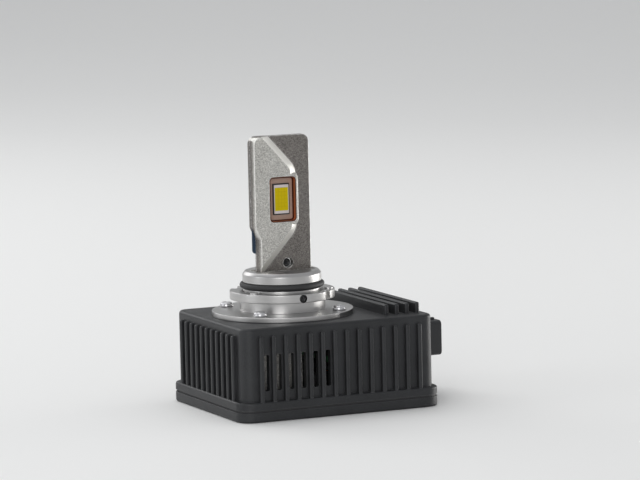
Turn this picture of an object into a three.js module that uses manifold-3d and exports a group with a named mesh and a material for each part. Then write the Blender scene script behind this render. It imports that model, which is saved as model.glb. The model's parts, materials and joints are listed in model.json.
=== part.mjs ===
// LED headlight bulb that fits in place of a D-type gas-discharge lamp: a flat stem with an LED on each face,
// a keyed collar, and a boxed driver base with a heat sink, a fan and the supply socket.
// Millimetres, +Z up along the lamp axis. The origin is where the lamp axis meets the base's flat underside.
import * as THREE from "three";
import { mergeVertices } from "three/addons/utils/BufferGeometryUtils.js";
import Module from "manifold-3d";

// ---------------------------------------------------------------- driving dimensions
const REFERENCE_PLANE = 36; // seating plane of the locator ring, above the underside
const LIGHT_CENTRE = 27.1; // light centre above the reference plane, fixed by the lamp category
const STEM_TOP = 46.5; // above the reference plane

const BASE = { left: -26, right: 40, halfDepth: 28, corner: 5, wall: 2, rib: 1.6, innerCorner: 1.6 };
const COVER_TOP = 3;
const GASKET_TOP = 3.6;
const DECK = { under: 25.5, top: 28, finTop: 31.2 };

const BLADE = { left: -9.65, right: 9.4, neck: -8.45, top: STEM_TOP, tip: 2.2 }; // where the halves meet
const FACE = { left: -9.2, right: 8.8, neck: -7.45, top: STEM_TOP - 0.4, tip: 2 }; // where its front ends
const DRAFT = 1; // how far the edges lean in from the middle to the front
const FRONT = -2.5;
const FLANK = 0.9;
const SPLIT = 0.17; // half the space between the two stem halves
const SHOULDER = { top: 19.1, bottom: 14.4 };
const STEP = { right: 2.7, left: -13, lower: 18.2, slope: 0.9, run: 2.1, soft: 1.2 };
const RIM = { wider: 0.9, taller: 1.5, corner: 1.7, run: 0.75 }; // the raised rim round each LED pocket
const POCKET = { width: 8.8, height: 13.8, corner: 1.25, liner: 0.25, gap: 0.08 };
const SHEET = { half: 0.14, left: -9.55, right: 9.2, top: 45.4, bottom: 10.9, corner: 1.1 };
const CORE = { left: -6.2, right: 4.6, halfHeight: 8.5, half: 0.35, foot: -14 };
const TONGUE = { right: -0.6, half: 0.55 }; // the core's narrow part, which reaches down into the heat sink
const CLAMP_HOLE = { x: 1.8, z: 7.5, radius: 1.5 };

// The LED, from the core outwards: a thin board, a package, its ceramic frame and the phosphor in the frame.
const LED_BOARD = { width: 7.2, height: 12.6, corner: 0.6, x: 0.2 };
const EMITTER = { width: 5.4, height: 9.5 };
const CERAMIC = { width: 4.75, height: 8.75 };
const PHOSPHOR = { width: 4.3, height: 7 };
const STACK = {
  board: [-0.51, -0.37],
  package: [-0.93, -0.53],
  frame: [-1.15, -0.95],
  phosphor: [-1.2, -0.97],
};
const LEAD = { x: 6.2, offset: 1.9, radius: 0.75 };
const FOOT = { left: -9, right: 9.9, half: 3.6, bottom: -10.4, top: 5.2 };

const RING = { outer: 16, inner: 12.1, thick: 3 };
const KEYS = { wide: 2.6, narrow: 1.5, depth: 2 }; // half widths of the ring's two notches
const GRUB = { z: -1.7, radius: 1.15, bore: 1.25 };
const COLLAR = { baseRadius: 21.5, baseTop: -6.4, neck: 13, barrel: 12, top: 5.5, screwCircle: 18.4 };

const FAN = { x: 18.5, size: 35, bottom: 3.1, top: 11.1, bore: 15.6, hub: 7.6, pitch: 29, blades: 7 };
const BOARD = { left: 5, right: 35.9, half: 22, bottom: 15.4, top: 17 };
const CONNECTOR = { back: 37.2, mouth: 49, half: 9.5, bottom: 12.4, top: 23.2, wall: 1.3, floor: 1.6 };
const PIN = { tail: 33.6, tip: 44, half: 1.4, z: 18.6, thick: 0.8 };
const PIN_PLACES = [-5, 0, 5];
const SINK = { left: -22, right: 3, half: 22, plate: 21.5, top: 25.2, finBottom: 8 };

// Screws: head radius, head height, shank radius, length under the head.
const SCREW = {
  stem: [1.5, 0.8, 0.6, 4],
  collar: [2, 1.4, 1, 5],
  cover: [2.6, 1.4, 1.05, 10],
  heatSink: [2.1, 1.5, 1, 5.4],
  board: [1.8, 1.2, 0.8, 4],
  connector: [1.9, 1.3, 0.85, 3.8],
  fan: [2.1, 1.2, 1.05, 6.5],
};
const COUNTERBORE = { cover: 1.7, fan: 1.4 }; // depths in the cover's underside
const COVER_SCREW_INSET = 5.2;

const SEAT = 0.02; // space under a screw's head
const GAP = 0.15; // clearance between fitted pieces
const DEEP = 60; // longer than anything a cutter passes through

// ---------------------------------------------------------------- solids
const wasm = await Module();
wasm.setup();

// A closed three.js geometry as a manifold-3d solid.
function solid(geometry) {
  const bare = geometry.clone();
  bare.deleteAttribute("normal");
  bare.deleteAttribute("uv");
  const merged = mergeVertices(bare, 1e-4);
  return new wasm.Manifold(
    new wasm.Mesh({
      numProp: 3,
      vertProperties: merged.attributes.position.array,
      triVerts: new Uint32Array(merged.index.array),
    }),
  );
}

// A manifold-3d solid as a three.js geometry with flat normals.
function geometryOf(body) {
  const mesh = body.getMesh();
  const indexed = new THREE.BufferGeometry()
    .setAttribute("position", new THREE.BufferAttribute(mesh.vertProperties, 3))
    .setIndex(new THREE.BufferAttribute(mesh.triVerts, 1));
  const flat = indexed.toNonIndexed();
  flat.computeVertexNormals();
  return flat;
}

const union = (bodies) => bodies.reduce((sum, next) => sum.add(next));
const without = (body, cutters) => cutters.reduce((rest, next) => rest.subtract(next), body);

// A box between two corners.
function block(x0, x1, y0, y1, z0, z1) {
  return new THREE.BoxGeometry(x1 - x0, y1 - y0, z1 - z0).translate(
    (x0 + x1) / 2,
    (y0 + y1) / 2,
    (z0 + z1) / 2,
  );
}

// An upright cylinder on (x, y), from z0 to z1.
function post(radius, x, y, z0, z1, sides = 20) {
  return new THREE.CylinderGeometry(radius, radius, z1 - z0, sides)
    .rotateX(Math.PI / 2)
    .translate(x, y, (z0 + z1) / 2);
}

// A cylinder along Y, on (x, z), from y0 to y1.
function cross(radius, x, z, y0, y1, sides = 20) {
  return new THREE.CylinderGeometry(radius, radius, y1 - y0, sides).translate(x, (y0 + y1) / 2, z);
}

// A rectangle with round corners, centred on (x, y).
function roundRect(width, height, radius, x = 0, y = 0) {
  const [w, h] = [width / 2, height / 2];
  const s = new THREE.Shape();
  s.moveTo(x - w + radius, y - h);
  s.lineTo(x + w - radius, y - h);
  s.absarc(x + w - radius, y - h + radius, radius, -Math.PI / 2, 0);
  s.lineTo(x + w, y + h - radius);
  s.absarc(x + w - radius, y + h - radius, radius, 0, Math.PI / 2);
  s.lineTo(x - w + radius, y + h);
  s.absarc(x - w + radius, y + h - radius, radius, Math.PI / 2, Math.PI);
  s.lineTo(x - w, y - h + radius);
  s.absarc(x - w + radius, y - h + radius, radius, Math.PI, 1.5 * Math.PI);
  return s;
}

// A shape drawn in X and Y, raised from z0 to z1.
function raise(shape, z0, z1, curveSegments = 3) {
  const options = { depth: z1 - z0, bevelEnabled: false, curveSegments };
  return new THREE.ExtrudeGeometry(shape, options).translate(0, 0, z0);
}

// A shape drawn in X and Z, with its thickness from y0 to y1.
function slab(shape, y0, y1, curveSegments = 3) {
  const options = { depth: y1 - y0, bevelEnabled: false, curveSegments };
  return new THREE.ExtrudeGeometry(shape, options).rotateX(Math.PI / 2).translate(0, y1, 0);
}

// A shape drawn in X and Z that widens by run as it goes from y0, its front, back over a depth.
function sloped(shape, y0, depth, run, curveSegments = 4) {
  const options = {
    depth: 0.01,
    bevelThickness: depth,
    bevelSize: run,
    bevelSegments: 1,
    curveSegments,
  };
  return new THREE.ExtrudeGeometry(shape, options).rotateX(Math.PI / 2).translate(0, y0 + depth + 0.01, 0);
}

// A profile of [radius, z] points turned about Z; it runs upwards on its outside.
function turned(profile, sides = 48) {
  const points = profile.map(([r, z]) => new THREE.Vector2(r, z));
  return new THREE.LatheGeometry(points, sides).rotateX(Math.PI / 2);
}

// A ring between two radii, from z0 to z1.
function ring(inner, outer, z0, z1, sides = 48) {
  return turned([[inner, z0], [outer, z0], [outer, z1], [inner, z1], [inner, z0]], sides);
}

// A round wire of the given radius along points.
function wire(points, radius, steps) {
  const path = new THREE.CatmullRomCurve3(points.map((p) => new THREE.Vector3(...p)));
  const section = new THREE.Shape().absarc(0, 0, radius, 0, 2 * Math.PI);
  return new THREE.ExtrudeGeometry(section, { extrudePath: path, steps, curveSegments: 3 });
}

// A screw pointing down from its seat at z = 0, with a hexagon socket in its head.
function screw(headRadius, headHeight, shankRadius, length) {
  const shank = solid(post(shankRadius, 0, 0, -length, headHeight / 2, 8));
  const head = solid(post(headRadius, 0, 0, 0, headHeight, 14));
  const socket = post(headRadius * 0.5, 0, 0, headHeight * 0.35, headHeight + 1, 6);
  return geometryOf(shank.add(head).subtract(solid(socket)));
}

// ---------------------------------------------------------------- materials
const finish = (color, roughness, metalness) =>
  new THREE.MeshStandardMaterial({ color, roughness, metalness });
const MATERIAL = {
  blasted: finish(0xb9b9b4, 0.55, 0.9),
  black: finish(0x1d1e20, 0.6, 0.4),
  copper: finish(0xb8633a, 0.35, 1),
  mask: finish(0xa9a29d, 0.6, 0.1),
  ceramic: finish(0xd9d5d3, 0.5, 0),
  phosphor: finish(0xd6be10, 0.6, 0),
  silicone: finish(0x1d3a58, 0.7, 0),
  seal: finish(0x2a2a2c, 0.8, 0),
  steel: finish(0x8f9194, 0.35, 1),
  dark: finish(0x1a1b1d, 0.5, 0.2),
  plastic: finish(0x17181a, 0.5, 0),
  board: finish(0x14532d, 0.5, 0),
  brass: finish(0xc9a24a, 0.35, 1),
  red: finish(0xb01e1e, 0.5, 0),
};

// ---------------------------------------------------------------- assembly
const bulb = new THREE.Group();
const lamp = new THREE.Group(); // everything measured from the reference plane
lamp.position.z = REFERENCE_PLANE;
bulb.add(lamp);

function place(parent, name, geometry, material, x = 0, y = 0, z = 0) {
  const mesh = new THREE.Mesh(geometry, material);
  mesh.name = name;
  mesh.position.set(x, y, z);
  parent.add(mesh);
  return mesh;
}

// ---------------------------------------------------------------- stem
// The blade's outline: straight on the right, with a shoulder down to a narrower neck on the left.
function bladeOutline({ left, right, neck, top, tip }) {
  const s = new THREE.Shape();
  s.moveTo(neck, 0);
  s.lineTo(right, 0);
  s.lineTo(right, top - tip);
  s.absarc(right - tip, top - tip, tip, 0, Math.PI / 2);
  s.lineTo(left + tip, top);
  s.absarc(left + tip, top - tip, tip, Math.PI / 2, Math.PI);
  s.lineTo(left, SHOULDER.top);
  s.bezierCurveTo(left + 0.2, SHOULDER.top - 1.1, neck, SHOULDER.bottom + 1.9, neck, SHOULDER.bottom);
  return s;
}

// The raised part's edge: upright beside the LED, and sloping to the left above and below it.
function stepOutline() {
  const { right, left, lower: low, slope, soft } = STEP;
  const high = 2 * LIGHT_CENTRE - low;
  const run = (right - left) / slope;
  const s = new THREE.Shape();
  s.moveTo(left, low - run);
  s.lineTo(right - soft * slope, low - soft);
  s.quadraticCurveTo(right, low, right, low + soft);
  s.lineTo(right, high - soft);
  s.quadraticCurveTo(right, high, right - soft * slope, high + soft);
  s.lineTo(left, high + run);
  return s;
}

const pocket = (grow = 0) =>
  roundRect(POCKET.width + 2 * grow, POCKET.height + 2 * grow, POCKET.corner + grow, 0, LIGHT_CENTRE);

const stemScrews = [
  { name: "stem_screw_upper", x: -5.6, z: 39.4 },
  { name: "stem_screw_lower", x: -4.4, z: 15.2 },
];

// The blade's front half: a thin flank, the raised part and the rim round the LED pocket, with leaning edges.
function halfBlade() {
  const height = -FLANK - FRONT;
  const rim = roundRect(POCKET.width + RIM.wider, POCKET.height + RIM.taller, RIM.corner, 0, LIGHT_CENTRE);
  const step = solid(sloped(stepOutline(), FRONT, height, STEP.run));
  const boss = solid(sloped(rim, FRONT, height, RIM.run));
  const upright = solid(slab(bladeOutline(BLADE), FRONT, -SPLIT, 8));
  const flank = solid(slab(bladeOutline(BLADE), -FLANK, -SPLIT, 8));
  const leaning = solid(sloped(bladeOutline(FACE), FRONT, -SPLIT - FRONT, DRAFT, 8));
  return union([step, boss, flank]).intersect(upright).intersect(leaning);
}

// Half of the stem, in front of the middle plane, with the room that the copper core needs.
function stemHalf() {
  const foot = solid(block(FOOT.left, FOOT.right, -FOOT.half, -SPLIT, FOOT.bottom, FOOT.top));
  const [low, high] = [LIGHT_CENTRE - CORE.halfHeight - GAP, LIGHT_CENTRE + CORE.halfHeight + GAP];
  const [left, right] = [CORE.left - GAP, CORE.right + GAP];
  const headRoom = block(left, right, -CORE.half - 0.05, DEEP, low, high);
  const tongueRoom = block(left, TONGUE.right + GAP, -TONGUE.half - 0.05, DEEP, -DEEP, LIGHT_CENTRE);
  const behind = block(-DEEP, DEEP, -SPLIT, DEEP, -DEEP, DEEP);
  return without(halfBlade().add(foot), [
    solid(behind),
    solid(slab(pocket(), -DEEP, 0, 5)),
    solid(headRoom),
    solid(tongueRoom),
    solid(cross(CLAMP_HOLE.radius, CLAMP_HOLE.x, CLAMP_HOLE.z, -DEEP, DEEP)),
    solid(post(0.95, LEAD.x, -LEAD.offset, -DEEP, FOOT.top - 2, 12)),
  ]);
}

// The screws thread into the front half and pass through the rear half.
function frontHalf() {
  const threads = stemScrews.map((s) => solid(cross(0.7, s.x, s.z, -1.9, DEEP, 12)));
  return geometryOf(without(stemHalf(), threads));
}

function rearHalf() {
  const half = stemHalf().mirror([0, 1, 0]);
  return geometryOf(without(half, stemScrews.map((s) => solid(cross(1.0, s.x, s.z, 0, DEEP, 16)))));
}

// The sheet between the halves; its lower left corner shows past the neck.
function thermalSheet() {
  const [width, height] = [SHEET.right - SHEET.left, SHEET.top - SHEET.bottom];
  const [x, z] = [(SHEET.left + SHEET.right) / 2, (SHEET.top + SHEET.bottom) / 2];
  const sheet = slab(roundRect(width, height, SHEET.corner, x, z), -SHEET.half, SHEET.half);
  const room = 0.3;
  const [left, right] = [CORE.left - room, CORE.right + room];
  const [low, high] = [LIGHT_CENTRE - CORE.halfHeight - room, LIGHT_CENTRE + CORE.halfHeight + room];
  return geometryOf(
    without(solid(sheet), [
      solid(block(left, right, -1, 1, low, high)),
      solid(block(left, TONGUE.right + room, -1, 1, 0, LIGHT_CENTRE)),
      solid(cross(1.0, stemScrews[0].x, stemScrews[0].z, -1, 1, 12)),
    ]),
  );
}

// A stem screw lying along Y, its head standing on the rear half.
function stemScrew() {
  return screw(...SCREW.stem).rotateX(-Math.PI / 2);
}

// A plate with a long tongue, and a thin wall that lines both LED pockets.
function copperCore() {
  const { half: t, halfHeight: h } = CORE;
  const head = solid(block(CORE.left, CORE.right, -t, t, LIGHT_CENTRE - h, LIGHT_CENTRE + h));
  const low = LIGHT_CENTRE - h;
  const tongue = solid(block(CORE.left, TONGUE.right, -TONGUE.half, TONGUE.half, CORE.foot, low + 1));
  const edge = -FRONT - 0.1;
  const lining = solid(slab(pocket(-POCKET.gap), -edge, edge, 5));
  const hollow = pocket(-POCKET.gap - POCKET.liner);
  const floors = [slab(hollow, -DEEP, -t, 5), slab(hollow, t, DEEP, 5)].map(solid);
  const holes = stemScrews.map((s) => solid(cross(0.9, s.x, s.z, -DEEP, DEEP, 12)));
  return geometryOf(without(union([head, tongue, lining]), [...floors, ...holes]));
}

// A rectangle with round corners about the light centre.
const centred = ({ width, height }, corner, grow = 0) =>
  roundRect(width + grow, height + grow, corner, 0, LIGHT_CENTRE);
const ledBoard = () => {
  const { width, height, corner, x } = LED_BOARD;
  return slab(roundRect(width, height, corner, x, LIGHT_CENTRE), ...STACK.board, 3);
};
const emitter = () => slab(centred(EMITTER, 0.15), ...STACK.package, 2);
const phosphor = () => slab(centred(PHOSPHOR, 0.1), ...STACK.phosphor, 2);

function ceramicFrame() {
  const frame = solid(slab(centred(CERAMIC, 0.12), ...STACK.frame, 2));
  return geometryOf(frame.subtract(solid(slab(centred(PHOSPHOR, 0.12, 0.06), -DEEP, DEEP, 2))));
}

place(lamp, "stem_front_half", frontHalf(), MATERIAL.blasted);
place(lamp, "stem_rear_half", rearHalf(), MATERIAL.blasted);
place(lamp, "thermal_sheet", thermalSheet(), MATERIAL.silicone);
place(lamp, "copper_core", copperCore(), MATERIAL.copper);
for (const [side, mirror] of [["front", 1], ["rear", -1]]) {
  const pieces = [
    place(lamp, `led_board_${side}`, ledBoard(), MATERIAL.mask),
    place(lamp, `led_package_${side}`, emitter(), MATERIAL.dark),
    place(lamp, `led_frame_${side}`, ceramicFrame(), MATERIAL.ceramic),
    place(lamp, `phosphor_${side}`, phosphor(), MATERIAL.phosphor),
  ];
  for (const piece of pieces) piece.scale.y = mirror;
}
for (const s of stemScrews) {
  place(lamp, s.name, stemScrew(), MATERIAL.steel, s.x, -FRONT + SEAT, s.z);
}

// The clamp screw fills the hole in the front flank, a little below its surface.
function clampScrew() {
  const [front, back, socketDepth] = [0.1, 1.6, 0.8];
  const pin = solid(cross(CLAMP_HOLE.radius - GAP, 0, 0, front, back));
  return geometryOf(pin.subtract(solid(cross(0.7, 0, 0, -DEEP, socketDepth, 6))));
}
place(lamp, "stem_clamp_screw", clampScrew(), MATERIAL.dark, CLAMP_HOLE.x, 0, CLAMP_HOLE.z);

// ---------------------------------------------------------------- collar and locator ring
const collarScrewAngles = [45, 135, 225, 315].map(THREE.MathUtils.degToRad);
const onCollarCircle = (a) => [COLLAR.screwCircle * Math.cos(a), COLLAR.screwCircle * Math.sin(a)];

// The space for the stem's foot, from z0 to z1.
function footRoom(z0, z1) {
  const half = FOOT.half + GAP;
  return block(FOOT.left - GAP, FOOT.right + GAP, -half, half, z0, z1);
}

function collar() {
  const deck = DECK.top - REFERENCE_PLANE;
  const seat = -RING.thick - 0.05;
  const groove = { radius: COLLAR.barrel - 0.9, z0: 0.25, z1: 2.15 };
  const body = turned(
    [
      [0, deck],
      [COLLAR.baseRadius, deck],
      [COLLAR.baseRadius, COLLAR.baseTop],
      [COLLAR.neck, COLLAR.baseTop],
      [COLLAR.neck, seat],
      [COLLAR.barrel, seat],
      [COLLAR.barrel, groove.z0],
      [groove.radius, groove.z0],
      [groove.radius, groove.z1],
      [COLLAR.barrel, groove.z1],
      [COLLAR.barrel, COLLAR.top - 1],
      [COLLAR.barrel - 0.8, COLLAR.top],
      [0, COLLAR.top],
    ],
    40,
  );
  const slot = footRoom(-DEEP, DEEP);
  const holes = collarScrewAngles.map((a) => solid(post(1.1, ...onCollarCircle(a), -DEEP, 0, 8)));
  return geometryOf(without(solid(body), [solid(slot), ...holes]));
}

// A round-section ring as a turned circle.
function oRing(middle, radius, z, sides = 36) {
  const facets = 6;
  const profile = [];
  for (let i = 0; i <= facets; i++) {
    const a = (2 * Math.PI * i) / facets;
    profile.push([middle + radius * Math.cos(a), z + radius * Math.sin(a)]);
  }
  return turned(profile, sides);
}

// Keyed disc: two notches in the rim and three low pads that touch the lamp holder.
function locatorRing() {
  const padTop = 0;
  const face = -0.4;
  const disc = turned(
    [
      [RING.inner, -RING.thick],
      [RING.outer, -RING.thick],
      [RING.outer, face],
      [RING.inner, face],
      [RING.inner, -RING.thick],
    ],
    48,
  );
  const pads = [90, 210, 330].map((degrees) => {
    const a = THREE.MathUtils.degToRad(degrees);
    return solid(post(1.3, 14.1 * Math.cos(a), 14.1 * Math.sin(a), face - 0.5, padTop, 12));
  });
  const notch = (half, turn) => block(-half, half, RING.outer - KEYS.depth, DEEP, -DEEP, DEEP).rotateZ(turn);
  const wide = notch(KEYS.wide, Math.PI / 4);
  const narrow = notch(KEYS.narrow, -Math.PI * 0.8);
  const grub = cross(GRUB.bore, 0, GRUB.z, -DEEP, 0, 12);
  return geometryOf(without(union([solid(disc), ...pads]), [wide, narrow, grub].map(solid)));
}

// A headless set screw in the ring's rim.
function grubScrew() {
  const body = cross(GRUB.radius, 0, GRUB.z, -RING.outer + 0.5, -RING.inner - 0.1, 12);
  const socket = cross(0.6, 0, GRUB.z, -DEEP, -RING.outer + 1.6, 6);
  return geometryOf(solid(body).subtract(solid(socket)));
}

place(lamp, "collar", collar(), MATERIAL.blasted);
place(lamp, "collar_o_ring", oRing(COLLAR.barrel + 0.05, 0.85, 1.2), MATERIAL.seal);
place(lamp, "locator_ring", locatorRing(), MATERIAL.blasted);
place(lamp, "ring_grub_screw", grubScrew(), MATERIAL.dark);
collarScrewAngles.forEach((a, i) => {
  const [x, y] = onCollarCircle(a);
  const head = screw(...SCREW.collar);
  place(lamp, `collar_screw_${i + 1}`, head, MATERIAL.steel, x, y, COLLAR.baseTop + SEAT);
});

// ---------------------------------------------------------------- base housing
const baseWidth = BASE.right - BASE.left;
const baseX = (BASE.left + BASE.right) / 2;
const baseOutline = (inset = 0, corner = BASE.corner) =>
  roundRect(baseWidth - 2 * inset, 2 * (BASE.halfDepth - inset), corner, baseX);
const cornerX = [BASE.left + COVER_SCREW_INSET, BASE.right - COVER_SCREW_INSET];
const cornerY = BASE.halfDepth - COVER_SCREW_INSET;
const corners = cornerX.flatMap((x) => [[x, -cornerY], [x, cornerY]]);

// Screws driven up from below, with their seats at z.
function screwsFromBelow(name, size, places, z) {
  places.forEach(([x, y], i) => {
    const piece = place(bulb, `${name}_${i + 1}`, screw(...size), MATERIAL.steel, x, y, z - SEAT);
    piece.rotation.x = Math.PI;
  });
}

// Places of the upright ribs on the long sides and on the left end, and of the air slots between them.
const ribPitch = 4;
const longRibs = Array.from({ length: 14 }, (_, i) => BASE.left + 7 + ribPitch * i);
const endRibs = Array.from({ length: 11 }, (_, i) => (i - 5) * ribPitch);
const RIB = { half: 0.7, bottom: GASKET_TOP + 2.4, top: DECK.top - 2.4 };
const SLOT = { half: 0.8, bottom: 9, top: 20 };

const sinkScrews = [[-18, 0], [0, 17.8], [0, -17.8]];
const boardScrews = [[BOARD.left + 3, BOARD.half - 3], [BOARD.left + 3, -BOARD.half + 3]];
const socketZ = (CONNECTOR.bottom + CONNECTOR.top) / 2;
const flangeScrews = [[-12.2, socketZ], [12.2, socketZ]];

function upperHousing() {
  const skin = BASE.rib;
  const shell = solid(raise(baseOutline(skin, BASE.corner - skin), GASKET_TOP, DECK.top - 0.9));
  const edge = { depth: 0.1, bevelThickness: 0.8, bevelSize: 0.8, bevelOffset: -0.8, bevelSegments: 1 };
  const cap = new THREE.ExtrudeGeometry(baseOutline(skin, BASE.corner - skin), { ...edge, curveSegments: 3 });
  const deck = solid(cap.translate(0, 0, DECK.top - 0.9));
  const rim = solid(raise(baseOutline(), GASKET_TOP, GASKET_TOP + 2.4));
  const ribs = [
    ...longRibs.flatMap((x) =>
      [-1, 1].map((side) => {
        const y = side * (BASE.halfDepth - 1.5);
        return block(x - RIB.half, x + RIB.half, y - 1.2, y + 1.2, RIB.bottom - 0.5, RIB.top);
      }),
    ),
    ...endRibs.map((y) => {
      const [x0, x1] = [BASE.left + 0.3, BASE.left + 2.4];
      return block(x0, x1, y - RIB.half, y + RIB.half, RIB.bottom - 0.5, RIB.top);
    }),
  ];
  const deckFins = [0, 1, 2, 3].map((i) => {
    const x = 25.2 + 3.4 * i;
    return block(x - RIB.half, x + RIB.half, -21, 21, DECK.top - 0.5, DECK.finTop);
  });
  const inset = skin + BASE.wall;
  const room = solid(raise(baseOutline(inset, BASE.innerCorner), 0, DECK.under));
  const bosses = corners.map(([x, y]) => solid(post(3.4, x, y, GASKET_TOP, DECK.under + 0.5, 10)));
  const standoffs = boardScrews.map(([x, y]) =>
    solid(post(2.2, x, y, BOARD.top + 0.05, DECK.under + 0.5, 8)),
  );
  const slots = [
    ...longRibs.slice(0, 6).flatMap((x) =>
      [-1, 1].map((side) => {
        const y = side * BASE.halfDepth;
        return block(x + 2 - SLOT.half, x + 2 + SLOT.half, y - 6, y + 6, SLOT.bottom, SLOT.top);
      }),
    ),
    ...endRibs.slice(0, -1).map((y) =>
      block(BASE.left - 3, BASE.left + 6, y + 2 - SLOT.half, y + 2 + SLOT.half, SLOT.bottom, SLOT.top),
    ),
  ];
  const c = CONNECTOR;
  const window_ = block(c.back - 2, c.mouth, -c.half - GAP, c.half + GAP, c.bottom - GAP, c.top + GAP);
  const flangeBore = ([y, z]) => block(BASE.right - 6, BASE.right, y - 0.9, y + 0.9, z - 0.9, z + 0.9);
  const body = union([shell, deck, rim, ...ribs.map(solid), ...deckFins.map(solid)]);
  const hollow = without(body, [room]);
  return geometryOf(
    without(union([hollow, ...bosses, ...standoffs]), [
      ...slots.map(solid),
      solid(window_),
      solid(footRoom(DECK.under - 1, DECK.top + 1)),
      ...corners.map(([x, y]) => solid(post(1.2, x, y, 0, 14, 8))),
      ...boardScrews.map(([x, y]) => solid(post(0.95, x, y, 0, DECK.under - 1, 6))),
      ...sinkScrews.map(([x, y]) => solid(post(1.15, x, y, 0, DECK.top - 0.6, 8))),
      ...collarScrewAngles.map((a) => solid(post(1.1, ...onCollarCircle(a), DECK.under - 1, DEEP, 8))),
      ...flangeScrews.map((at) => solid(flangeBore(at))),
    ]),
  );
}

function gasket() {
  const outer = solid(raise(baseOutline(0.4, BASE.corner - 0.4), COVER_TOP, GASKET_TOP));
  const inner = solid(raise(baseOutline(BASE.rib + BASE.wall, BASE.innerCorner), 0, DEEP));
  const holes = corners.map(([x, y]) => solid(post(1.9, x, y, 0, DEEP, 8)));
  const frame = outer.subtract(inner);
  const lugs = corners.map(([x, y]) => solid(post(3.2, x, y, COVER_TOP, GASKET_TOP, 10)));
  return geometryOf(without(union([frame, ...lugs]), holes));
}

// Air comes in through rings of curved slots under the fan.
function airSlots() {
  const slots = [];
  for (const [inner, outer] of [[5.2, 8.6], [10.4, 14.8]]) {
    for (let i = 0; i < 4; i++) {
      const middle = (inner + outer) / 2;
      const web = 1.1 / middle;
      const [a0, a1] = [(i * Math.PI) / 2 + web, ((i + 1) * Math.PI) / 2 - web];
      const s = new THREE.Shape();
      s.absarc(FAN.x, 0, outer, a0, a1);
      s.absarc(FAN.x, 0, inner, a1, a0, true);
      slots.push(solid(raise(s, -1, COVER_TOP + 1, 5)));
    }
  }
  return slots;
}

const fanCorners = [[-1, -1], [1, 1]].map(([i, j]) => [
  FAN.x + (i * FAN.pitch) / 2,
  (j * FAN.pitch) / 2,
]);

function lowerCover() {
  const soft = 0.6;
  const edge = { bevelThickness: soft, bevelSize: soft, bevelOffset: -soft, bevelSegments: 1 };
  const options = { ...edge, depth: COVER_TOP - soft, curveSegments: 3 };
  const plate = new THREE.ExtrudeGeometry(baseOutline(), options).translate(0, 0, soft);
  const counterbore = (radius, depth, [x, y]) => solid(post(radius + GAP, x, y, -1, depth, 16));
  const above = block(-DEEP, DEEP, -DEEP, DEEP, COVER_TOP, DEEP);
  return geometryOf(
    without(solid(plate), [
      solid(above),
      ...airSlots(),
      ...corners.map(([x, y]) => solid(post(1.7, x, y, -1, DEEP, 8))),
      ...corners.map((at) => counterbore(SCREW.cover[0], COUNTERBORE.cover, at)),
      ...fanCorners.map(([x, y]) => solid(post(1.3, x, y, -1, DEEP, 8))),
      ...fanCorners.map((at) => counterbore(SCREW.fan[0], COUNTERBORE.fan, at)),
    ]),
  );
}

place(bulb, "upper_housing", upperHousing(), MATERIAL.black);
place(bulb, "housing_gasket", gasket(), MATERIAL.seal);
place(bulb, "lower_cover", lowerCover(), MATERIAL.black);
screwsFromBelow("cover_screw", SCREW.cover, corners, COUNTERBORE.cover);

// ---------------------------------------------------------------- heat sink
function heatSink() {
  const plate = block(SINK.left, SINK.right, -SINK.half, SINK.half, SINK.plate, SINK.top);
  const fins = [-20, -15.5, -11, -6.5, 6.5, 11, 15.5, 20].map((y) =>
    block(SINK.left, SINK.right - 6, y - 0.7, y + 0.7, SINK.finBottom, SINK.plate + 0.5),
  );
  const spine = block(CORE.left - 2.5, SINK.right, -3.5, 3.5, SINK.plate - 2.5, SINK.plate + 0.5);
  const low = REFERENCE_PLANE + CORE.foot - GAP;
  const side = TONGUE.half + GAP;
  const slot = block(CORE.left - GAP, TONGUE.right + GAP, -side, side, low, DEEP);
  const bossRoom = corners.slice(0, 2).map(([x, y]) => solid(post(3.8, x, y, 0, DEEP, 10)));
  const holes = sinkScrews.map(([x, y]) => solid(post(1.25, x, y, 0, DEEP, 8)));
  const screwRoom = collarScrewAngles.map((a) => solid(post(1.3, ...onCollarCircle(a), 23, DEEP, 8)));
  return geometryOf(
    without(union([plate, ...fins, spine].map(solid)), [solid(slot), ...bossRoom, ...holes, ...screwRoom]),
  );
}
place(bulb, "heat_sink", heatSink(), MATERIAL.blasted);
screwsFromBelow("heat_sink_screw", SCREW.heatSink, sinkScrews, SINK.plate);

// ---------------------------------------------------------------- driver board
function driverBoard() {
  const plate = roundRect(BOARD.right - BOARD.left, 2 * BOARD.half, 1.5, (BOARD.left + BOARD.right) / 2);
  const holes = boardScrews.map(([x, y]) => solid(post(1.2, x, y, 0, DEEP, 8)));
  const pins = PIN_PLACES.map((y) => solid(block(PIN.tail - 0.2, PIN.tail + 1, y - 0.9, y + 0.9, 0, DEEP)));
  const bossRoom = corners.map(([x, y]) => solid(post(3.9, x, y, 0, DEEP, 10)));
  const board = solid(raise(plate, BOARD.bottom, BOARD.top, 3));
  return geometryOf(without(board, [...holes, ...pins, ...bossRoom]));
}

// A power transistor: a body on a metal tab, with three legs.
function transistor() {
  const pieces = [block(-3.2, 3.2, -2.9, 2.9, 0.3, 2.5), block(-2.7, 2.7, 2.5, 4.1, 0, 0.6)];
  for (const x of [-2.2, 0, 2.2]) pieces.push(block(x - 0.35, x + 0.35, -4.4, -2.5, 0, 0.6));
  return geometryOf(union(pieces.map(solid)));
}

// A controller chip with legs on two sides.
function chip() {
  const pieces = [block(-2.4, 2.4, -1.9, 1.9, 0.15, 1.5)];
  for (const x of [-1.8, -0.6, 0.6, 1.8]) pieces.push(block(x - 0.2, x + 0.2, -2.9, 2.9, 0, 0.4));
  return geometryOf(union(pieces.map(solid)));
}

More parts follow.
